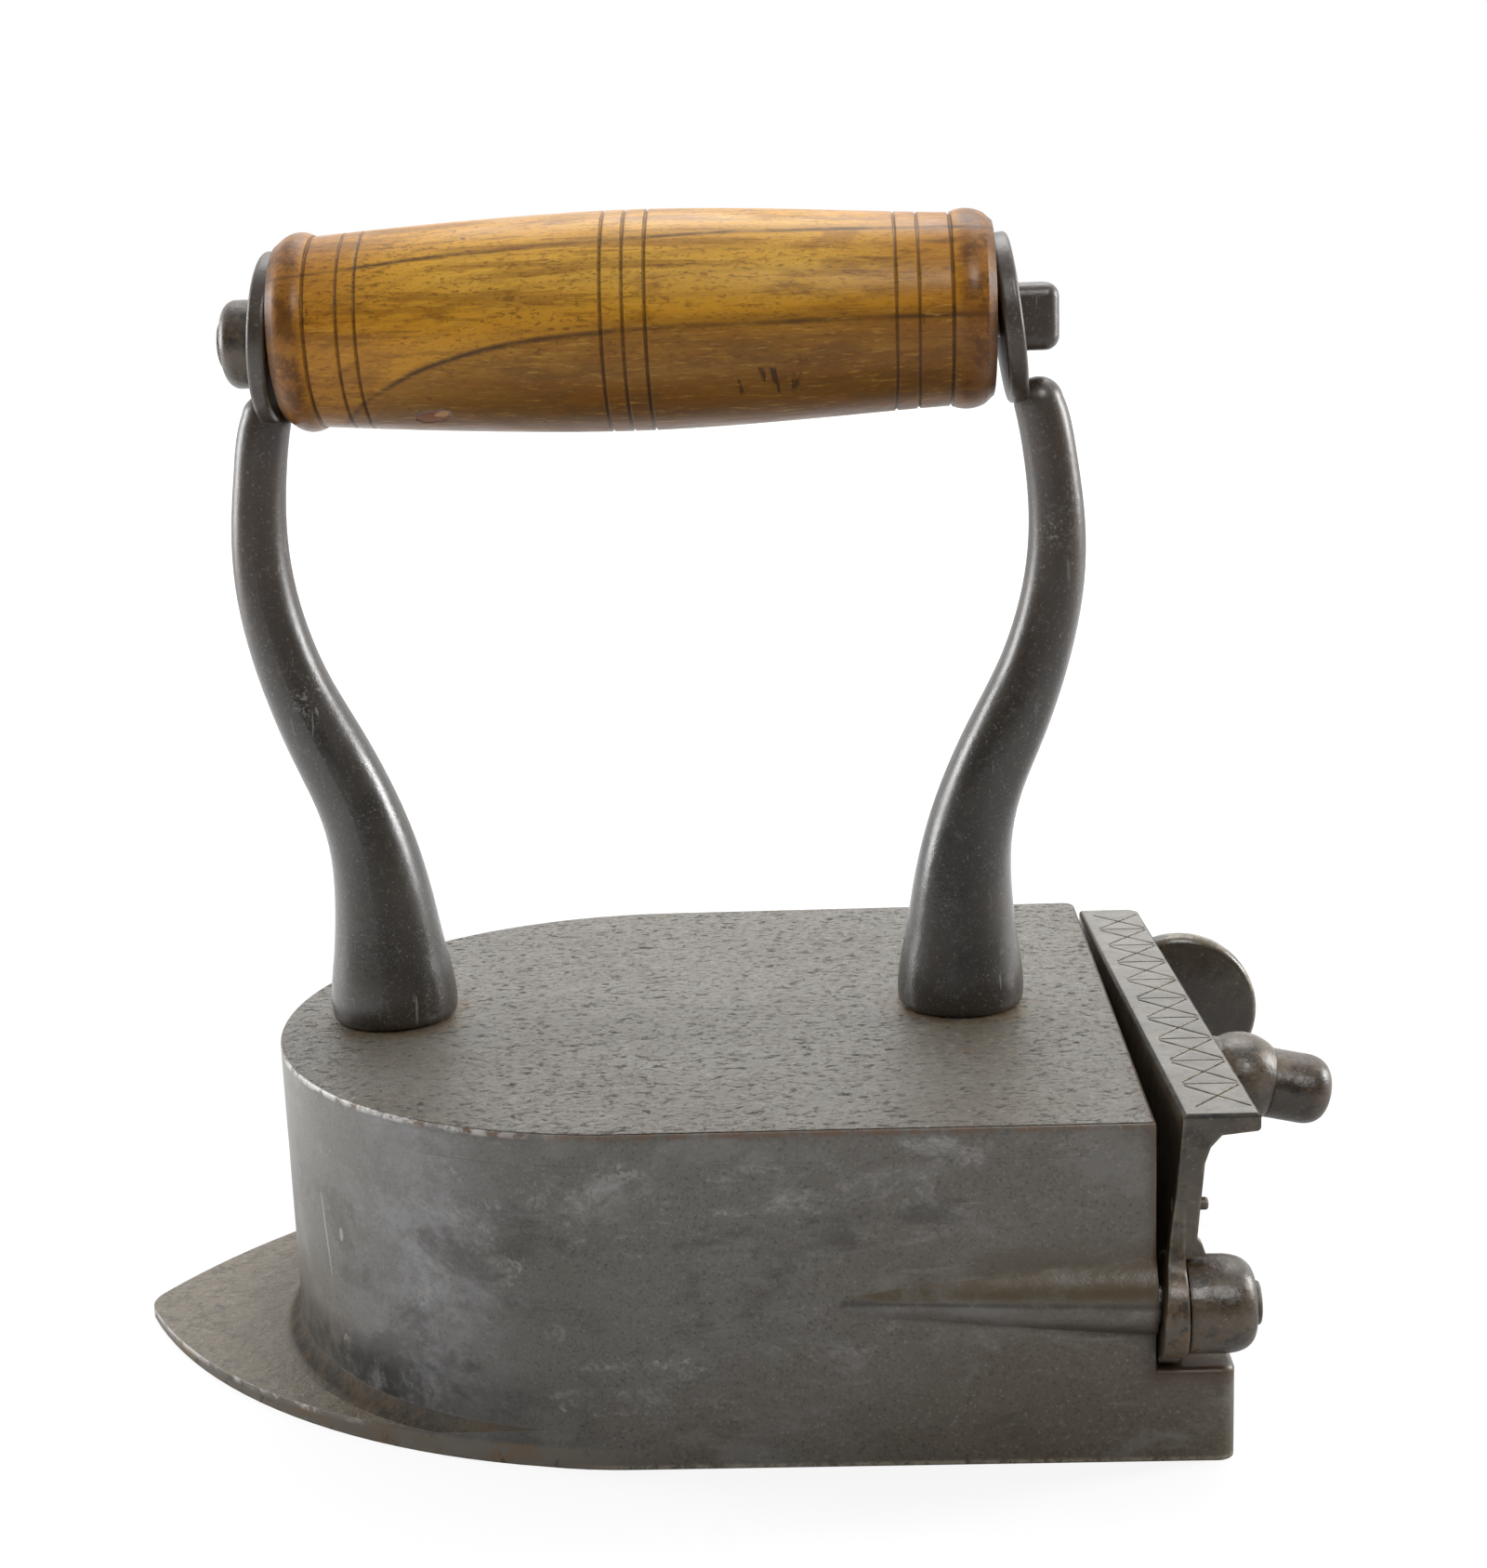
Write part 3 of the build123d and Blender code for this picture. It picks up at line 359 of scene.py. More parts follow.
def paint_nose_reflection_and_scuffs(s, zone):
    """A painted bluish reflection on the nose, and worn pale scuffs that follow the iron."""
    # Painted reflection: a streaky bluish-grey patch on the nose stands for a reflected bright
    # area
    nose = s.times(s.near(s.x, -33 * MM, 22 * MM), s.step(s.y, -28 * MM, -40 * MM), zone.side)
    streaky = s.noise(70, 7, 0.74, 0.4, s.scaled(0.6, 0.6, 1.5))
    nose_reflection = s.times(
        s.step(streaky, 0.38, 0.64, 0.35, 1.0),
        s.patches(0.38, 0.58, 330, 7, 0.8, floor=0.4),
    )
    s.blend(s.times(nose, nose_reflection, 0.8), srgb(144, 144, 147))
    region = s.step(s.noise(24, 4, 0.5, 0.3, s.scaled(0.6, 1, 1)), 0.5, 0.7, 0, 0.6)
    for centre, size in SCUFFED:
        region = s.math("MAXIMUM", region, s.spot(centre, size, ragged=2.2))
    grain = s.noise(190, 9, 0.8, 0.5, s.scaled(0.5, 1, 1))
    scuffs = s.times(s.step(grain, 0.46, 0.72), region, zone.side)
    s.blend(s.times(scuffs, 0.85), srgb(168, 166, 164))
    cloud = s.noise(75, 7, 0.7, 0.3, s.scaled(0.5, 1, 1))
    s.blend(s.times(s.step(cloud, 0.53, 0.64), zone.side, 0.32), srgb(140, 138, 135))
    s.blend(s.times(s.step(cloud, 0.46, 0.34), zone.side, 0.55), srgb(52, 47, 40))
    fine = s.noise(420, 3, 0.5, 0, s.scaled(0.06, 1, 1, (0, 0.6, 0)))
    s.blend(
        s.times(s.step(fine, 0.67, 0.7), s.patches(0.5, 0.6, 30), zone.side, 0.4),
        srgb(150, 148, 142),
    )
    s.rough(scuffs, 0.5)


def paint_marks(s):
    """Single pale marks on the nose, the toe and the wall, one of them a small ring."""
    for centre, size, tilt, ragged, amount, colour in SINGLE_MARKS:
        s.blend(s.times(s.spot(centre, size, tilt, ragged), amount), srgb(*colour))
    ring = s.distance_to(RING_MARK)
    s.blend(
        s.times(s.near(ring, 1.15 * MM, 0.6 * MM), s.patches(0.3, 0.6, 500), 0.35),
        srgb(158, 155, 150),
    )
    s.blend(s.times(s.step(ring, 0.7 * MM, 0.2 * MM), 0.35), srgb(160, 156, 150))


def paint_toe_reflection(s, zone):
    """Painted dark reflection of the toe, in brown-black, low on the nose where it meets the toe.
    """
    front = s.step(s.x, -2 * MM, -22 * MM)
    # Painted reflection: the dark toe mirrored in brown-black low on the nose, glossier at the
    # front
    toe_reflection = s.times(
        front,
        zone.side,
        s.step(s.z, 15 * MM, 9 * MM),
        s.patches(0.38, 0.54, 150, 7, 0.75, floor=0.25),
    )
    s.blend(s.times(toe_reflection, s.step(s.x, -26 * MM, -42 * MM, 0.4, 1.0)), srgb(22, 18, 13))
    s.rough(s.times(toe_reflection, s.step(s.x, -30 * MM, -44 * MM)), 0.3)


def paint_plate_and_toe(s, zone):
    """Plate and toe: small pits with pale specks painted as glints, ochre round the feet of the
    posts, and painted shade on the toe along the nose's foot.
    """
    hollow = s.step(zone.pits, 0.47, 0.38)
    small = s.noise(1700, 4, 0.7, 0.0, s.scaled(0.6, 1, 1))
    broad = s.noise(38, 5, 0.6)
    s.blend(s.times(zone.plate, 0.92), srgb(102, 97, 86))
    s.blend(s.times(zone.plate, s.step(broad, 0.4, 0.65), 0.6), srgb(84, 74, 54))
    s.blend(s.times(zone.toe, 0.95), srgb(124, 112, 92))
    s.blend(s.times(zone.toe, s.step(broad, 0.42, 0.6), 0.6), srgb(112, 102, 84))
    s.blend(s.times(zone.toe, s.patches(0.5, 0.62, 330, 6, 0.75), 0.6), srgb(62, 52, 36))
    s.blend(s.times(zone.tops, s.patches(0.44, 0.3, 260, 6, 0.7), 0.45), srgb(46, 42, 33))
    s.blend(
        s.times(s.math("ADD", zone.plate, s.times(zone.toe, 0.6)), hollow, 0.9),
        srgb(32, 28, 20),
    )
    s.blend(s.times(zone.tops, s.step(small, 0.45, 0.34), 0.6), srgb(44, 37, 26))
    # Pale specks painted as glints on the plate and the toe
    s.blend(s.times(zone.tops, s.step(small, 0.58, 0.68), 0.75), srgb(168, 164, 154))
    s.blend(s.times(zone.tops, s.patches(0.62, 0.7, 420, 4, 0.6), 0.6), srgb(100, 74, 44))
    s.blend(
        s.times(zone.toe, s.step(s.z, 2.6 * MM, 3.6 * MM), s.patches(0.3, 0.55, 170, 6, 0.7), 0.7),
        srgb(70, 54, 32),
    )
    for post in (-1, 1):
        ring = s.step(s.distance(post * POST_OUT, 0.0), 14.0 * MM, POST_FOOT)
        s.blend(
            s.times(zone.plate, ring, s.patches(0.38, 0.56, 170, 6, 0.7), 0.8),
            srgb(98, 76, 38),
        )
    # Painted shade: darker brown on the toe in the corner along the nose's foot
    foot = s.times(
        zone.toe,
        s.near(zone.round_nose, 1.08, 0.24),
        s.patches(0.25, 0.6, 110, 6, 0.7, floor=0.5),
    )
    s.blend(s.times(foot, 0.6), srgb(84, 70, 46))
    s.rough(zone.plate, 0.23)
    s.rough(zone.toe, 0.4)
    s.rough(
        s.times(zone.plate, s.math("MAXIMUM", hollow, s.times(s.step(small, 0.45, 0.36), 0.8))),
        0.95,
    )


def paint_cove_shade_and_rust(s, zone):
    """Painted dark shade in the cove at the nose's foot, with rust-brown patches."""
    cove = s.times(
        s.near(zone.round_nose, 1.04, 0.17),
        s.step(s.z, 12 * MM, 8 * MM),
        s.step(s.x, 12 * MM, 2 * MM),
    )
    cove = s.times(
        cove,
        s.step(s.nz, 0.02, 0.12),
        s.step(s.nz, 0.97, 0.72),
        s.step(s.x, -5 * MM, -42 * MM, 0.55, 1.0),
    )
    # Painted shade: near-black brown in the cove; the brown patches after it are rust
    s.blend(s.times(cove, 0.95), srgb(34, 27, 18))
    s.blend(s.times(cove, s.patches(0.42, 0.56, 210, 6, 0.75), 0.6), srgb(86, 68, 40))
    s.rough(cove, 0.9)


def paint_boss(s, zone):
    """Rust-brown upper side with painted light from above, a painted shade line along the middle,
    a paler lower side painted as a reflection, painted shade beneath, and rust on the ledge.
    """
    # Rust-brown on the boss's upward-facing side, with painted light from above
    s.blend(
        s.times(zone.boss, s.step(s.nz, 0.0, 0.25), s.patches(0.28, 0.55, 160, 6, 0.7), 0.9),
        srgb(84, 70, 44),
    )
    # The halo band: rust-brown with painted light on the boss's lit upper side
    s.blend(s.times(zone.halo, zone.side, 0.7), srgb(80, 66, 43))
    # Painted shade: a dark line along the boss's middle
    s.blend(
        s.times(zone.boss, s.near(s.nz, 0.02, 0.14), s.patches(0.3, 0.5, 150), 0.7),
        srgb(40, 35, 27),
    )
    # Painted reflection: a paler grey lower side of the boss
    s.blend(
        s.times(
            zone.boss,
            s.near(s.nz, -0.3, 0.3),
            s.patches(0.4, 0.58, 140, 6, 0.75, floor=0.2),
            0.7,
        ),
        srgb(126, 123, 119),
    )
    # Painted shade under the boss
    s.blend(s.times(zone.boss, s.step(s.nz, -0.5, -0.75), 0.7), srgb(48, 42, 34))
    ledge = s.times(
        s.step(s.x, 63 * MM, 66.5 * MM),
        s.step(s.z, 9.5 * MM, 13.4 * MM),
        s.patches(0.3, 0.5, 110, 6, 0.7),
    )
    s.blend(s.times(ledge, 0.95), srgb(74, 52, 30))


def paint_seam_wear_and_highlights(s, zone):
    """Fine broken seam between wall and plate, rubbed edges, and painted highlights on the rim's
    rounding and along the toe's lip.
    """
    seam = s.times(s.near(s.z, SEAM_HEIGHT, 0.16 * MM), s.patches(0.5, 0.62, 90), zone.side)
    s.blend(s.times(seam, 0.3), srgb(50, 45, 38))
    s.blend(s.times(s.wear(300, 0.42, 0.66), zone.side, 0.6), srgb(150, 143, 130))
    rim_band = s.times(s.step(s.z, 47.0 * MM, 47.5 * MM), s.step(s.nz, 0.93, 0.8))
    rim = s.times(rim_band, s.patches(0.42, 0.56, 230, 6, 0.75))
    s.blend(s.times(rim, 0.85), srgb(108, 82, 60))
    # Painted highlight: broken white light on the rim's rounding at the nose
    bright = s.times(
        rim_band,
        s.step(s.x, -8 * MM, -30 * MM),
        s.step(s.y, -8 * MM, -24 * MM),
        s.patches(0.44, 0.54, 200, 6, 0.75),
    )
    s.blend(s.times(bright, 0.9), srgb(206, 204, 200))
    low = s.times(s.step(s.z, 0.9 * MM, 0.3 * MM), s.patches(0.4, 0.56, 700, 5, 0.75))
    s.blend(s.times(low, 0.7), srgb(168, 158, 140))
    lip = s.times(s.step(s.x, -2 * MM, -16 * MM), s.step(s.z, 3.4 * MM, 2.6 * MM), zone.side)
    s.blend(s.times(lip, 0.85), srgb(118, 110, 98))
    s.blend(s.times(lip, s.patches(0.5, 0.62, 150, 6, 0.7), 0.6), srgb(124, 94, 58))
    s.blend(s.times(lip, s.patches(0.45, 0.36, 320, 6, 0.7), 0.6), srgb(52, 45, 36))
    lip_top = s.math("ADD", s.times(s.x, TOE_SLOPE), TOE_TOP)
    # Painted highlight along the toe lip's rounded upper edge
    edge = s.times(
        s.near(s.math("SUBTRACT", s.z, lip_top), 0.0, 1.1 * MM),
        s.step(s.x, 6 * MM, -4 * MM),
        s.step(s.nz, 0.8, 0.5),
    )
    edge = s.times(
        edge,
        s.step(zone.round_nose, 1.06, 1.1),
        s.patches(0.46, 0.56, 130, 7, 0.75, floor=0.1),
    )
    s.blend(edge, srgb(222, 218, 212))
    s.rough(edge, 0.25)


def raise_relief(s, zone):
    """Relief finer than the mesh: grain, pits and the rim's unevenness."""
    s.bump(s.noise(1500, 4, 0.65), 0.012 * MM)
    s.bump(s.noise(60, 4, 0.5), 0.12 * MM)
    s.bump(s.times(zone.plate, zone.pits), 0.46 * MM)
    s.bump(s.times(zone.plate, s.noise(230, 4, 0.6, 0.2, s.scaled(0.7, 1, 1))), 0.28 * MM)
    s.bump(s.times(zone.plate, s.step(s.x, 0.0, -45 * MM), s.noise(480, 6, 0.75)), 0.4 * MM)
    s.bump(s.times(zone.toe, s.noise(400, 7, 0.72, 0.2)), 1.1 * MM)
    s.bump(s.times(s.near(s.z, 47.9 * MM, 1.2 * MM), s.noise(240, 5, 0.7)), 0.35 * MM)
    s.bump(s.times(zone.halo, s.noise(500, 5, 0.7)), 0.12 * MM)


def cast_iron(name):
    """Cast iron of the body and its plate: smooth sides, a pitted plate and a rougher toe."""
    s = Surface(name, srgb(103, 99, 91), 0.36)
    on_boss = s.times(s.step(s.x, 0, 12 * MM), s.step(s.gap(s.z, BOSS_HEIGHT), 11 * MM, 8 * MM))
    off_seam = s.step(s.gap(s.z, SEAM_HEIGHT), 0.7 * MM, 1.2 * MM)
    s.soften(s.times(s.step(on_boss, 0.0, 0.6, 0.5 * MM, 1.3 * MM), off_seam))
    zone = body_zones(s)
    paint_sides(s)
    paint_nose_reflection_and_scuffs(s, zone)
    paint_marks(s)
    paint_toe_reflection(s, zone)
    paint_plate_and_toe(s, zone)
    paint_cove_shade_and_rust(s, zone)
    paint_boss(s, zone)
    paint_seam_wear_and_highlights(s, zone)
    raise_relief(s, zone)
    return s.finish(IOR=1.62)


def post_iron():
    """Forged posts: near black, smooth and glossy, browner towards the top."""
    s = Surface("post_iron", srgb(40, 36, 31), 0.25, 0.35 * MM)
    s.blend(s.patches(0.42, 0.68, 45, 5, 0.6, top=0.8), srgb(56, 48, 38))
    s.blend(
        s.times(s.step(s.z, 85 * MM, 125 * MM), s.patches(0.3, 0.6, 70, 5, floor=0.4), 0.85),
        srgb(58, 42, 27),
    )
    grit = s.noise(2300, 3, 0.65)
    s.blend(s.times(s.step(grit, 0.6, 0.68), 0.55), srgb(128, 124, 118))
    s.blend(s.times(s.patches(0.56, 0.64, 700, 6, 0.75), 0.45), srgb(92, 84, 72))
    pale = s.times(s.patches(0.56, 0.68, 60, 5, 0.6), s.patches(0.52, 0.62, 1100, 5, 0.8, 0.4))
    s.blend(s.times(pale, 0.7), srgb(138, 135, 130))
    hair = s.noise(900, 2, 0.5, 0, s.scaled(1, 1, 0.09, (0.5, 0, 0)))
    s.blend(s.times(s.step(hair, 0.69, 0.72), s.patches(0.45, 0.6, 60), 0.5), srgb(150, 147, 142))
    s.rough(s.patches(0.4, 0.65, 90, 4), 0.33)
    s.rough(pale, 0.5)
    s.rough(s.step(s.z, 95 * MM, 120 * MM), 0.36)
    foot = s.step(s.z, PLATE_TOP + 1.4 * MM, PLATE_TOP)
    s.blend(s.times(foot, s.patches(0.35, 0.6, 200), 0.7), srgb(66, 50, 28))
    s.bump(s.noise(1500, 4, 0.7), 0.035 * MM)
    s.bump(s.noise(240, 5, 0.6), 0.05 * MM)
    s.bump(s.noise(85, 3), 0.12 * MM)
    return s.finish(IOR=1.75)


def fitting_iron():
    """Small forged and filed pieces: dark brown, rubbed bright on their high spots."""
    s = Surface("fitting_iron", srgb(62, 50, 35), 0.25, 0.7 * MM)
    s.blend(s.patches(0.4, 0.66, 110, 5, 0.6, top=0.8), srgb(98, 83, 62))
    s.blend(s.times(s.patches(0.5, 0.62, 330, 6, 0.75), 0.85), srgb(30, 24, 17))
    s.blend(s.times(s.patches(0.6, 0.7, 1500, 3, 0.7), 0.45), srgb(146, 138, 124))
    s.blend(s.times(s.patches(0.6, 0.68, 420, 5, 0.7), 0.5), srgb(104, 78, 46))
    s.blend(s.times(s.wear(), 0.5), srgb(140, 132, 118))
    s.rough(s.patches(0.45, 0.65, 220, 5, 0.7), 0.42)
    s.bump(s.noise(1100, 5, 0.7), 0.022 * MM)
    s.bump(s.noise(480, 6, 0.7), 0.12 * MM)
    s.bump(s.noise(120, 3), 0.2 * MM)
    return s.finish(IOR=1.7)


def fin_iron():
    """Thumb fin: almost black, with a painted highlight along its rim."""
    s = Surface("fin_iron", srgb(46, 37, 22), 0.26, 0.6 * MM)
    s.blend(s.patches(0.45, 0.62, 120, 6, 0.7, top=0.8), srgb(70, 57, 36))
    s.blend(s.times(s.patches(0.55, 0.66, 240, 6, 0.75), 0.6), srgb(26, 22, 16))
    s.blend(s.times(s.patches(0.62, 0.7, 1700, 3, 0.7), 0.4), srgb(126, 120, 106))
    # Painted highlight: a pale line along the fin's rim
    rim = s.times(s.step(s.math("ABSOLUTE", s.ny), 0.92, 0.5), s.patches(0.35, 0.6, 300, 5, 0.7))
    s.blend(s.times(rim, 0.7), srgb(156, 144, 124))
    s.bump(s.noise(700, 5, 0.7), 0.04 * MM)
    s.bump(s.noise(110, 4), 0.35 * MM)
    return s.finish(IOR=1.7)


def gate_iron():
    """Gate: flange rubbed smooth on top, brown below and in its worn near edge."""
    s = Surface("gate_iron", srgb(66, 57, 46), 0.34, 0.7 * MM)
    s.blend(s.patches(0.4, 0.62, 80, 6, 0.7, top=0.8), srgb(92, 82, 68))
    rust = s.times(
        s.step(s.z, 38 * MM, 26 * MM),
        s.step(s.y, -42 * MM, -47 * MM, 0.3, 1.0),
        s.patches(0.44, 0.56, 170, 6, 0.75),
    )
    s.blend(s.times(rust, 0.75), srgb(112, 84, 46))
    s.blend(s.times(s.patches(0.5, 0.62, 330, 6, 0.75), 0.8), srgb(36, 29, 21))
    top = s.times(s.step(s.nz, 0.6, 0.9), s.step(s.z, 45 * MM, 46.2 * MM))
    s.blend(s.times(top, 0.9), srgb(92, 87, 78))
    s.blend(s.times(top, s.patches(0.42, 0.62, 140, 6, 0.65), 0.5), srgb(122, 118, 110))
    s.blend(s.times(top, s.patches(0.46, 0.36, 620, 6, 0.75), 0.5), srgb(54, 48, 38))
    s.rough(top, 0.27)
    # Dirt in the engraved border, which lies below the sloping top
    crest = s.math("SUBTRACT", FLANGE_TOP, s.times(s.y, FLANGE_FALL))
    sunk = s.math("SUBTRACT", crest, s.z)
    cut = s.times(s.step(sunk, 0.02 * MM, 0.07 * MM), s.step(sunk, 0.7 * MM, 0.5 * MM))
    s.blend(s.times(cut, s.step(s.x, FLANGE_FRONT, FLANGE_FRONT + 0.6 * MM)), srgb(16, 13, 9))
    s.rough(cut, 0.8)
    s.blend(s.times(s.patches(0.62, 0.7, 1500, 3, 0.7), 0.4), srgb(156, 148, 134))
    s.blend(s.times(s.wear(360, 0.36, 0.6), 0.65), srgb(160, 146, 120))
    s.bump(s.noise(1100, 5, 0.7), 0.02 * MM)
    s.bump(s.noise(300, 5, 0.65), 0.09 * MM)
    s.bump(s.noise(110, 4), 0.4 * MM)
    return s.finish(IOR=1.65)


def slug_iron():
    """Heater slug: rough, fire-scaled iron."""
    s = Surface("slug_iron", srgb(62, 54, 48), 0.62, 0.5 * MM)
    s.blend(s.patches(0.42, 0.6, 40, 6, 0.65, top=0.8), srgb(92, 66, 46))
    s.blend(s.times(s.patches(0.55, 0.66, 160, 6, 0.7), 0.6), srgb(38, 36, 36))
    s.bump(s.noise(300, 8, 0.75), 0.25 * MM)
    s.bump(s.noise(60, 4), 0.4 * MM)
    return s.finish(IOR=1.45)


def grip_fields(s):
    """Places on the grip in millimetres, and heights above its two growth lines."""
    x_mm, y_mm, z_mm = (s.math("MULTIPLY", axis, 1.0 / MM) for axis in (s.x, s.y, s.z))
    wobble = s.math(
        "MULTIPLY",
        s.math("SUBTRACT", s.noise(55, 3, 0.5, 0, s.scaled(0.4, 1, 1)), 0.5),
        1.6,
    )
    crown = s.math("SUBTRACT", x_mm, UPPER_LINE_X)
    upper = s.math("SUBTRACT", UPPER_LINE_TOP, s.times(crown, crown, UPPER_LINE_BEND))
    over = s.math("ADD", s.math("SUBTRACT", z_mm, upper), wobble)
    from_end = s.math("SUBTRACT", LOWER_LINE_X, x_mm)
    decay = s.math("EXPONENT", s.math("DIVIDE", from_end, LOWER_LINE_REACH))
    lower = s.math("SUBTRACT", LOWER_LINE_TOP, s.math("MULTIPLY", decay, LOWER_LINE_DROP))
    under = s.math("ADD", s.math("SUBTRACT", z_mm, lower), s.times(wobble, 0.6))
    return types.SimpleNamespace(
        x=x_mm,
        y=y_mm,
        z=z_mm,
        wobble=wobble,
        over=over,
        under=under,
        from_middle=s.gap(x_mm, GRIP_MIDDLE),
    )


def paint_wood(s, grip):
    """Honey-coloured wood, redder towards both ends, darker and greyer below the lower growth
    line, with a painted highlight band along the top and painted shade on the underside.
    """
    grain = s.noise(34, 6, 0.65, 0.5, s.scaled(0.2, 1, 1))
    s.blend(s.step(grain, 0.4, 0.66, 0, 0.75), srgb(180, 124, 24))
    s.blend(
        s.step(s.noise(90, 6, 0.7, 0.2, s.scaled(0.15, 1, 1)), 0.52, 0.68, 0, 0.6),
        srgb(226, 174, 66),
    )
    s.blend(s.step(grip.from_middle, 24.0, 48.0, 0, 0.7), srgb(166, 106, 30))
    # Painted highlight: a golden band along the grip's upper part
    s.blend(
        s.times(s.near(grip.z, 158.5, 8.0), s.step(grip.from_middle, 46.0, 20.0), 0.4),
        srgb(240, 194, 84),
    )
    s.blend(s.step(grip.under, 0.6, -0.8, 0, 0.62), srgb(122, 80, 26))
    s.blend(s.step(grip.under, -1.0, -9.0, 0, 0.5), srgb(106, 74, 42))
    # Painted shade: darker on the grip's underside
    s.blend(s.step(grip.z, 145.0, 136.5, 0, 0.6), srgb(70, 44, 20))
    s.blend(
        s.times(
            s.step(grip.under, 0.6, -3.0),
            s.step(s.noise(130, 5, 0.7, 0.3, s.scaled(0.3, 1, 1)), 0.45, 0.62),
            0.5,
        ),
        srgb(84, 50, 20),
    )


def paint_growth(s, grip):
    """The two growth lines, with the finer streaks and rings beside them."""
    for depth, width, strength in ((grip.under, 0.7, 0.95), (grip.over, 0.42, 0.9)):
        line = s.near(depth, 0.0, width)
        s.blend(s.times(line, s.patches(0.3, 0.55, 90, 4, floor=0.4), strength), srgb(58, 36, 12))
    feather = s.times(
        s.step(grip.under, 2.4, 0.0),
        s.step(grip.under, -0.4, 0.2),
        s.step(grip.x, -30.0, 10.0),
    )
    s.blend(s.times(feather, 0.5), srgb(112, 72, 22))
    streaks = s.noise(420, 5, 0.65, 0.2, s.scaled(0.06, 1, 1))
    s.blend(s.step(streaks, 0.5, 0.6, 0, 0.5), srgb(128, 78, 18))
    phase = s.math("ADD", grip.under, s.times(grip.wobble, 2.0))
    rings = s.math("SINE", s.times(phase, 2.1))
    s.blend(s.step(rings, 0.4, 1.0, 0, 0.16), srgb(104, 66, 20))
    far_phase = s.math("ADD", grip.y, s.times(grip.z, 0.35))
    far_rings = s.math("SINE", s.times(far_phase, 1.3))
    s.blend(s.times(s.step(far_rings, 0.3, 1.0), s.step(grip.y, -2.0, 6.0), 0.3), srgb(96, 62, 30))


def paint_flecks(s, dash):
    """Short dark flecks of the grain, in bands, and a few pale ones."""
    bands = s.step(s.noise(60, 4, 0.6, 0, s.scaled(0.3, 1, 1)), 0.35, 0.6, 0.45, 1.0)
    mottle = s.noise(210, 6, 0.7, 0.3, s.scaled(0.45, 1, 1))
    s.blend(s.step(mottle, 0.48, 0.36, 0, 0.5), srgb(136, 86, 18))
    s.blend(s.times(s.step(dash, 0.55, 0.6), bands, 0.65), srgb(98, 58, 10))
    hairs = s.noise(1300, 3, 0.6, 0, s.scaled(0.05, 1, 1))
    s.blend(s.times(s.step(hairs, 0.58, 0.64), 0.4), srgb(110, 66, 12))
    pale = s.noise(2400, 3, 0.65, 0, s.scaled(0.12, 1, 1))
    s.blend(s.times(s.step(pale, 0.56, 0.68), 0.3), srgb(214, 164, 76))
    pores = s.noise(700, 4, 0.7, 0.4, s.scaled(0.35, 1, 1))
    s.blend(s.times(s.step(pores, 0.6, 0.7), s.patches(0.45, 0.6, 80, 3), 0.55), srgb(76, 44, 12))


def paint_turning(s, grip):
    """Dirt in the scribed lines and at both ends."""
    for place in SCRIBED:
        s.blend(s.times(s.near(grip.x, place, 0.32), 0.7), srgb(62, 40, 16))
    ends = s.step(grip.from_middle, 45.2, 46.6)
    s.blend(s.times(ends, 0.45), srgb(112, 66, 22))
    s.blend(s.times(ends, s.patches(0.45, 0.58, 240, 6, 0.75), 0.6), srgb(70, 38, 14))
    s.blend(s.step(grip.from_middle, 48.9, 50.4, 0, 0.5), srgb(70, 42, 20))


def paint_handling(s, dent):
    """A dent low on the near side, and scratches."""
    s.blend(s.times(dent, 0.75), srgb(120, 62, 22))
    s.blend(s.times(s.spot(*DENT_PALE), 0.8), srgb(186, 140, 92))
    scratched = s.spot(*SCRATCHED)
    cuts = s.step(s.noise(620, 3, 0.6, 0, s.scaled(1, 0.3, 0.14, (0, 0.35, 0))), 0.56, 0.62)
    s.blend(s.times(scratched, cuts, 0.8), srgb(48, 28, 12))
    marks = s.times(
        s.step(s.noise(800, 3, 0.6, 0, s.scaled(1, 1, 0.12)), 0.66, 0.7),
        s.patches(0.56, 0.62, 45),
    )
    s.blend(s.times(marks, 0.6), srgb(54, 34, 14))


def wood():
    """The grip's turned and worn hardwood."""
    s = Surface("grip_wood", srgb(216, 154, 34), 0.3, 0.3 * MM)
    grip = grip_fields(s)
    dash = s.noise(2500, 4, 0.7, 0, s.scaled(0.33, 1, 1))
    dent = s.spot(*DENT)
    paint_wood(s, grip)
    paint_growth(s, grip)
    paint_flecks(s, dash)
    paint_turning(s, grip)
    paint_handling(s, dent)
    s.rough(s.step(s.noise(120, 5, 0.6, 0, s.scaled(0.3, 1, 1)), 0.4, 0.65), 0.46)
    s.bump(dash, 0.03 * MM)
    s.bump(s.math("SUBTRACT", 1.0, dent), 0.5 * MM)
    s.bump(s.noise(60, 3, 0.5, 0, s.scaled(0.3, 1, 1)), 0.3 * MM)
    return s.finish(IOR=1.4)


iron = cast_iron("body_iron")
finishes = {
    "body": iron,
    "plate": iron,
    "posts": post_iron(),
    "grip": wood(),
    "fittings": fitting_iron(),
    "gate": gate_iron(),
    "slug": slug_iron(),
}
slots = {part["node"]: part["material_slot"] for part in frame["record"]["subparts"]}
for name, piece in nodes.items():
    piece.data.materials.clear()
    piece.data.materials.append(finishes[slots[name]])
nodes["gate_thumb_fin"].data.materials[0] = fin_iron()
nodes["rear_rod_nut"].data.materials[0] = finishes["posts"]


# Floor and light

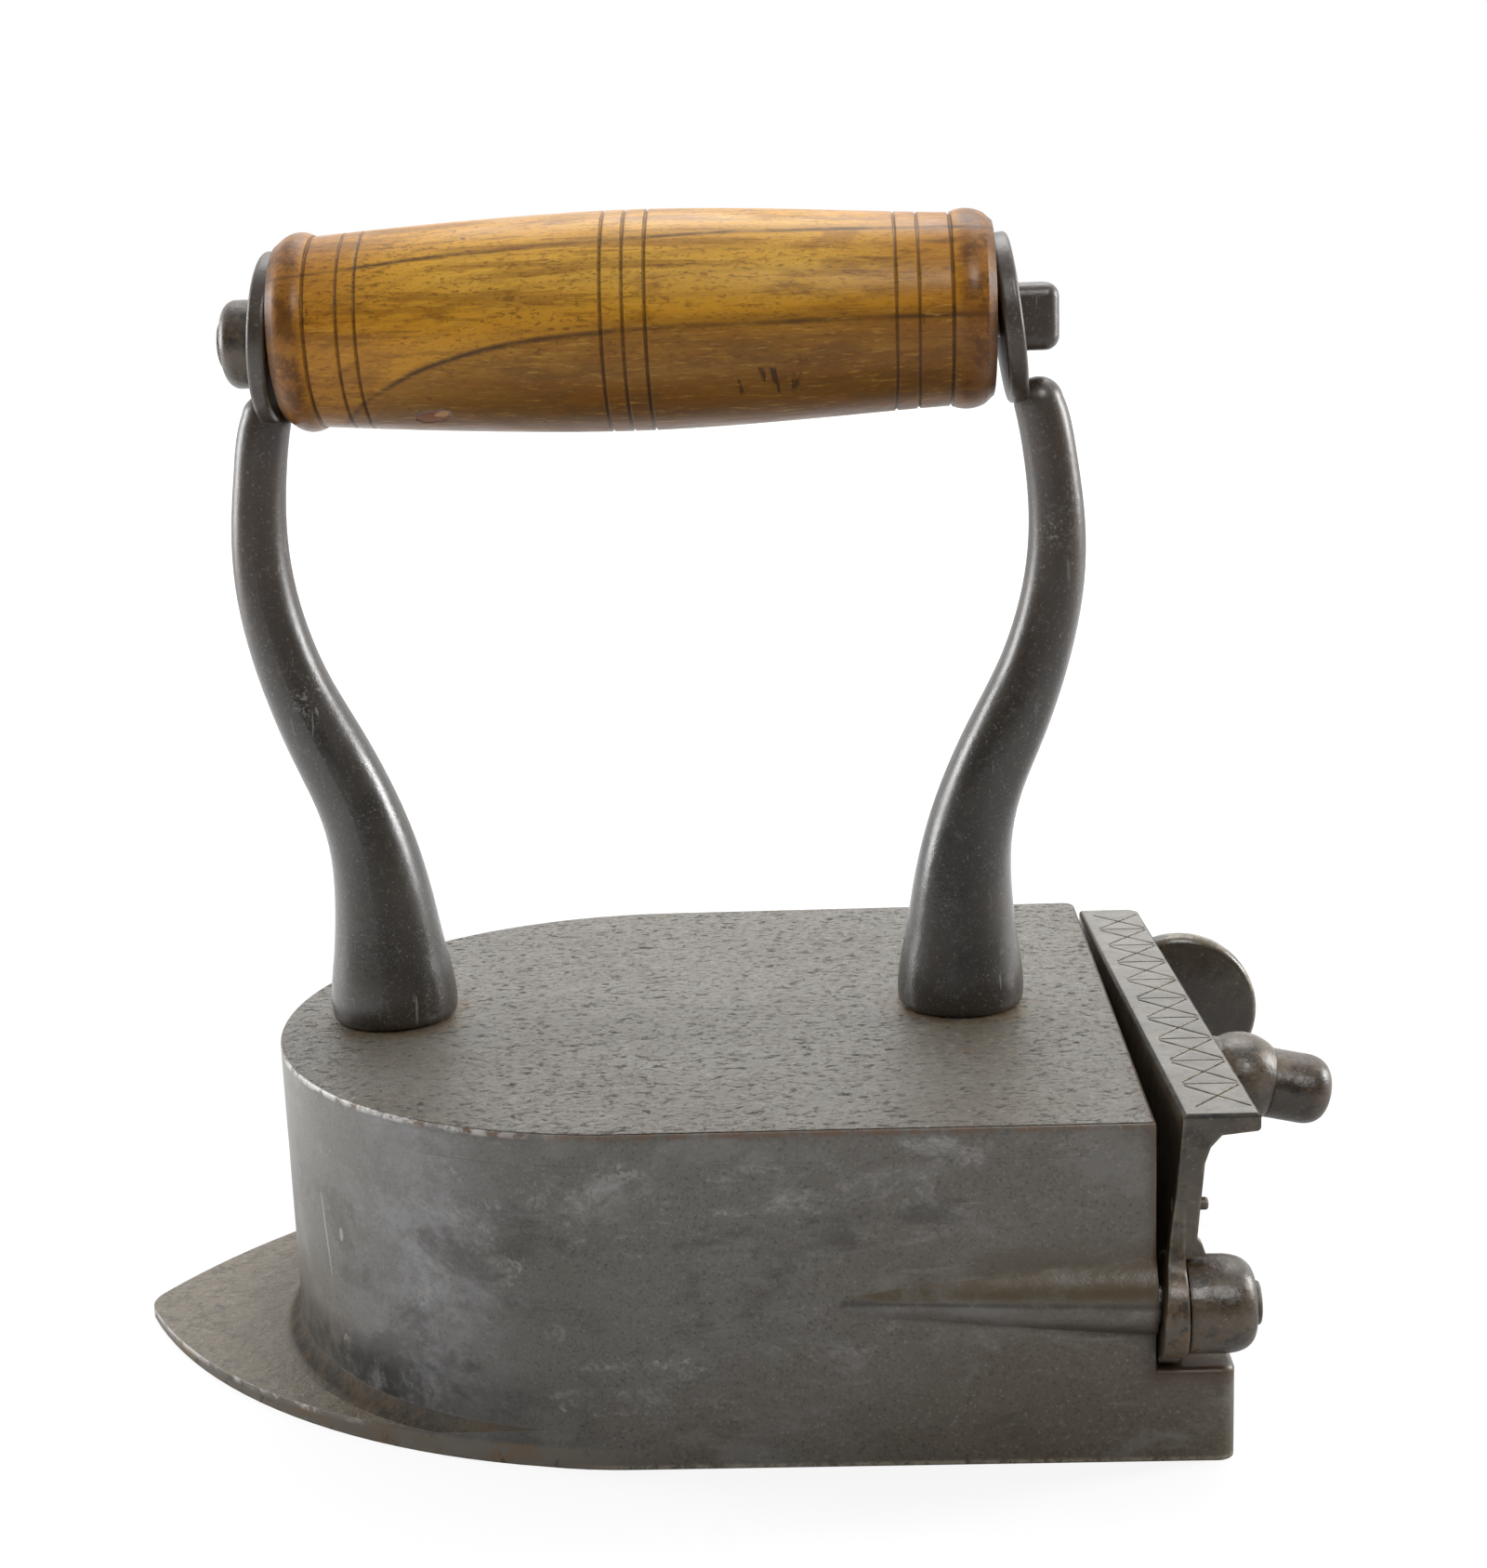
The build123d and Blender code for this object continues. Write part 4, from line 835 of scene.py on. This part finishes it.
def make_floor():
    """A floor that reads as white under the iron's soft shadow and that reflects dimmer."""
    mesh = bpy.data.meshes.new("floor")
    corners = [
        (x * FLOOR_REACH, y * FLOOR_REACH, 0) for x, y in ((-1, -1), (1, -1), (1, 1), (-1, 1))
    ]
    mesh.from_pydata(corners, [], [(0, 1, 2, 3)])
    floor = bpy.data.objects.new("floor", mesh)
    bpy.context.scene.collection.objects.link(floor)
    floor.location.z = -FLOOR_DROP
    s = Surface("floor_white", FLOOR_DIM, 0.9)
    s.blend(s.step(s.x, -60 * MM, -150 * MM), FLOOR_BRIGHT)
    s.blend(s.step(s.y, 20 * MM, 200 * MM), FLOOR_BRIGHT)
    seen = s.add("ShaderNodeLightPath").outputs["Is Camera Ray"]
    s.blend(seen, FLOOR_SEEN)
    material = s.finish()
    far = s.step(s.distance(0.0, 0.0), 150 * MM, 400 * MM, 1.04, 1.3)
    glow = s.add("ShaderNodeEmission", {"Color": (1, 1, 1, 1), "Strength": far})
    mix = s.add(
        "ShaderNodeMixShader",
        {0: s.times(seen, 0.8), 1: s.shader.outputs[0], 2: glow.outputs[0]},
    )
    s.tree.links.new(mix.outputs[0], s.output.inputs["Surface"])
    mesh.materials.append(material)


def make_world():
    """White behind the iron; for everything else a studio, bright above and behind."""
    world = bpy.data.worlds.new("studio")
    bpy.context.scene.world = world
    world.use_nodes = True
    tree = world.node_tree
    tree.nodes.clear()
    place = add_node(tree, "ShaderNodeTexCoord").outputs["Generated"]
    split = add_node(tree, "ShaderNodeSeparateXYZ", {0: place})
    back = smooth_step(tree, split.outputs["Y"], -0.6, 0.8, 0.12, 1.62)
    above = smooth_step(tree, split.outputs["Z"], 0.1, 0.9, 0.0, 0.3)
    level = add_node(tree, "ShaderNodeMath", {0: back, 1: above}, operation="ADD").outputs[0]
    studio = add_node(tree, "ShaderNodeBackground", {"Strength": level}).outputs[0]
    white = add_node(tree, "ShaderNodeBackground", {"Color": (1, 1, 1, 1)}).outputs[0]
    seen = add_node(tree, "ShaderNodeLightPath").outputs["Is Camera Ray"]
    mix = add_node(tree, "ShaderNodeMixShader", {0: seen, 1: studio, 2: white})
    add_node(tree, "ShaderNodeOutputWorld", {"Surface": mix.outputs[0]})


def softbox(name, azimuth, height, away, width, tall, watts):
    """A rectangular lamp aimed at the iron, with sizes in metres.

    Its azimuth turns from the near side towards the heel, and both angles are in degrees.
    """
    aim = Vector(LAMP_AIM)
    turn, lift = math.radians(azimuth), math.radians(height)
    place = aim + away * Vector(
        (math.sin(turn) * math.cos(lift), -math.cos(turn) * math.cos(lift), math.sin(lift)),
    )
    lamp = bpy.data.lights.new(name, "AREA")
    lamp.shape = "RECTANGLE"
    lamp.size, lamp.size_y = width, tall
    lamp.energy = watts
    holder = bpy.data.objects.new(name, lamp)
    bpy.context.scene.collection.objects.link(holder)
    holder.location = place
    holder.rotation_euler = (aim - place).to_track_quat("-Z", "Y").to_euler()


make_floor()
make_world()
for lamp in (
    # name, azimuth, height, away, width, tall, watts
    ("side_right", 102, 16, 0.9, 0.16, 0.34, 4.5),
    ("side_left", -104, 14, 0.9, 0.24, 0.45, 4.0),
    ("front_above", 24, 44, 0.9, 0.22, 0.22, 2.2),
    ("back_above", 165, 62, 1.0, 0.7, 0.5, 4.0),
):
    softbox(*lamp)


# Camera, solved from the photograph's outlines

def make_camera():
    """The photograph's camera: its place, turn and lens, with its axis through the middle."""
    right = Vector(CAMERA_RIGHT)
    up = Vector(CAMERA_UP)
    back = right.cross(up)
    turn = Matrix((right, up, back)).transposed().to_4x4()
    camera = bpy.data.cameras.new("camera")
    camera.sensor_fit = "VERTICAL"
    camera.sensor_height = SENSOR_HIGH
    camera.lens = SENSOR_HIGH * FOCAL_PIXELS / PHOTO_HIGH
    camera.clip_start = 0.01
    holder = bpy.data.objects.new("camera", camera)
    holder.matrix_world = Matrix.Translation(CAMERA_PLACE) @ turn
    bpy.context.scene.collection.objects.link(holder)
    bpy.context.scene.camera = holder


make_camera()
bpy.context.scene.view_settings.view_transform = "Standard"
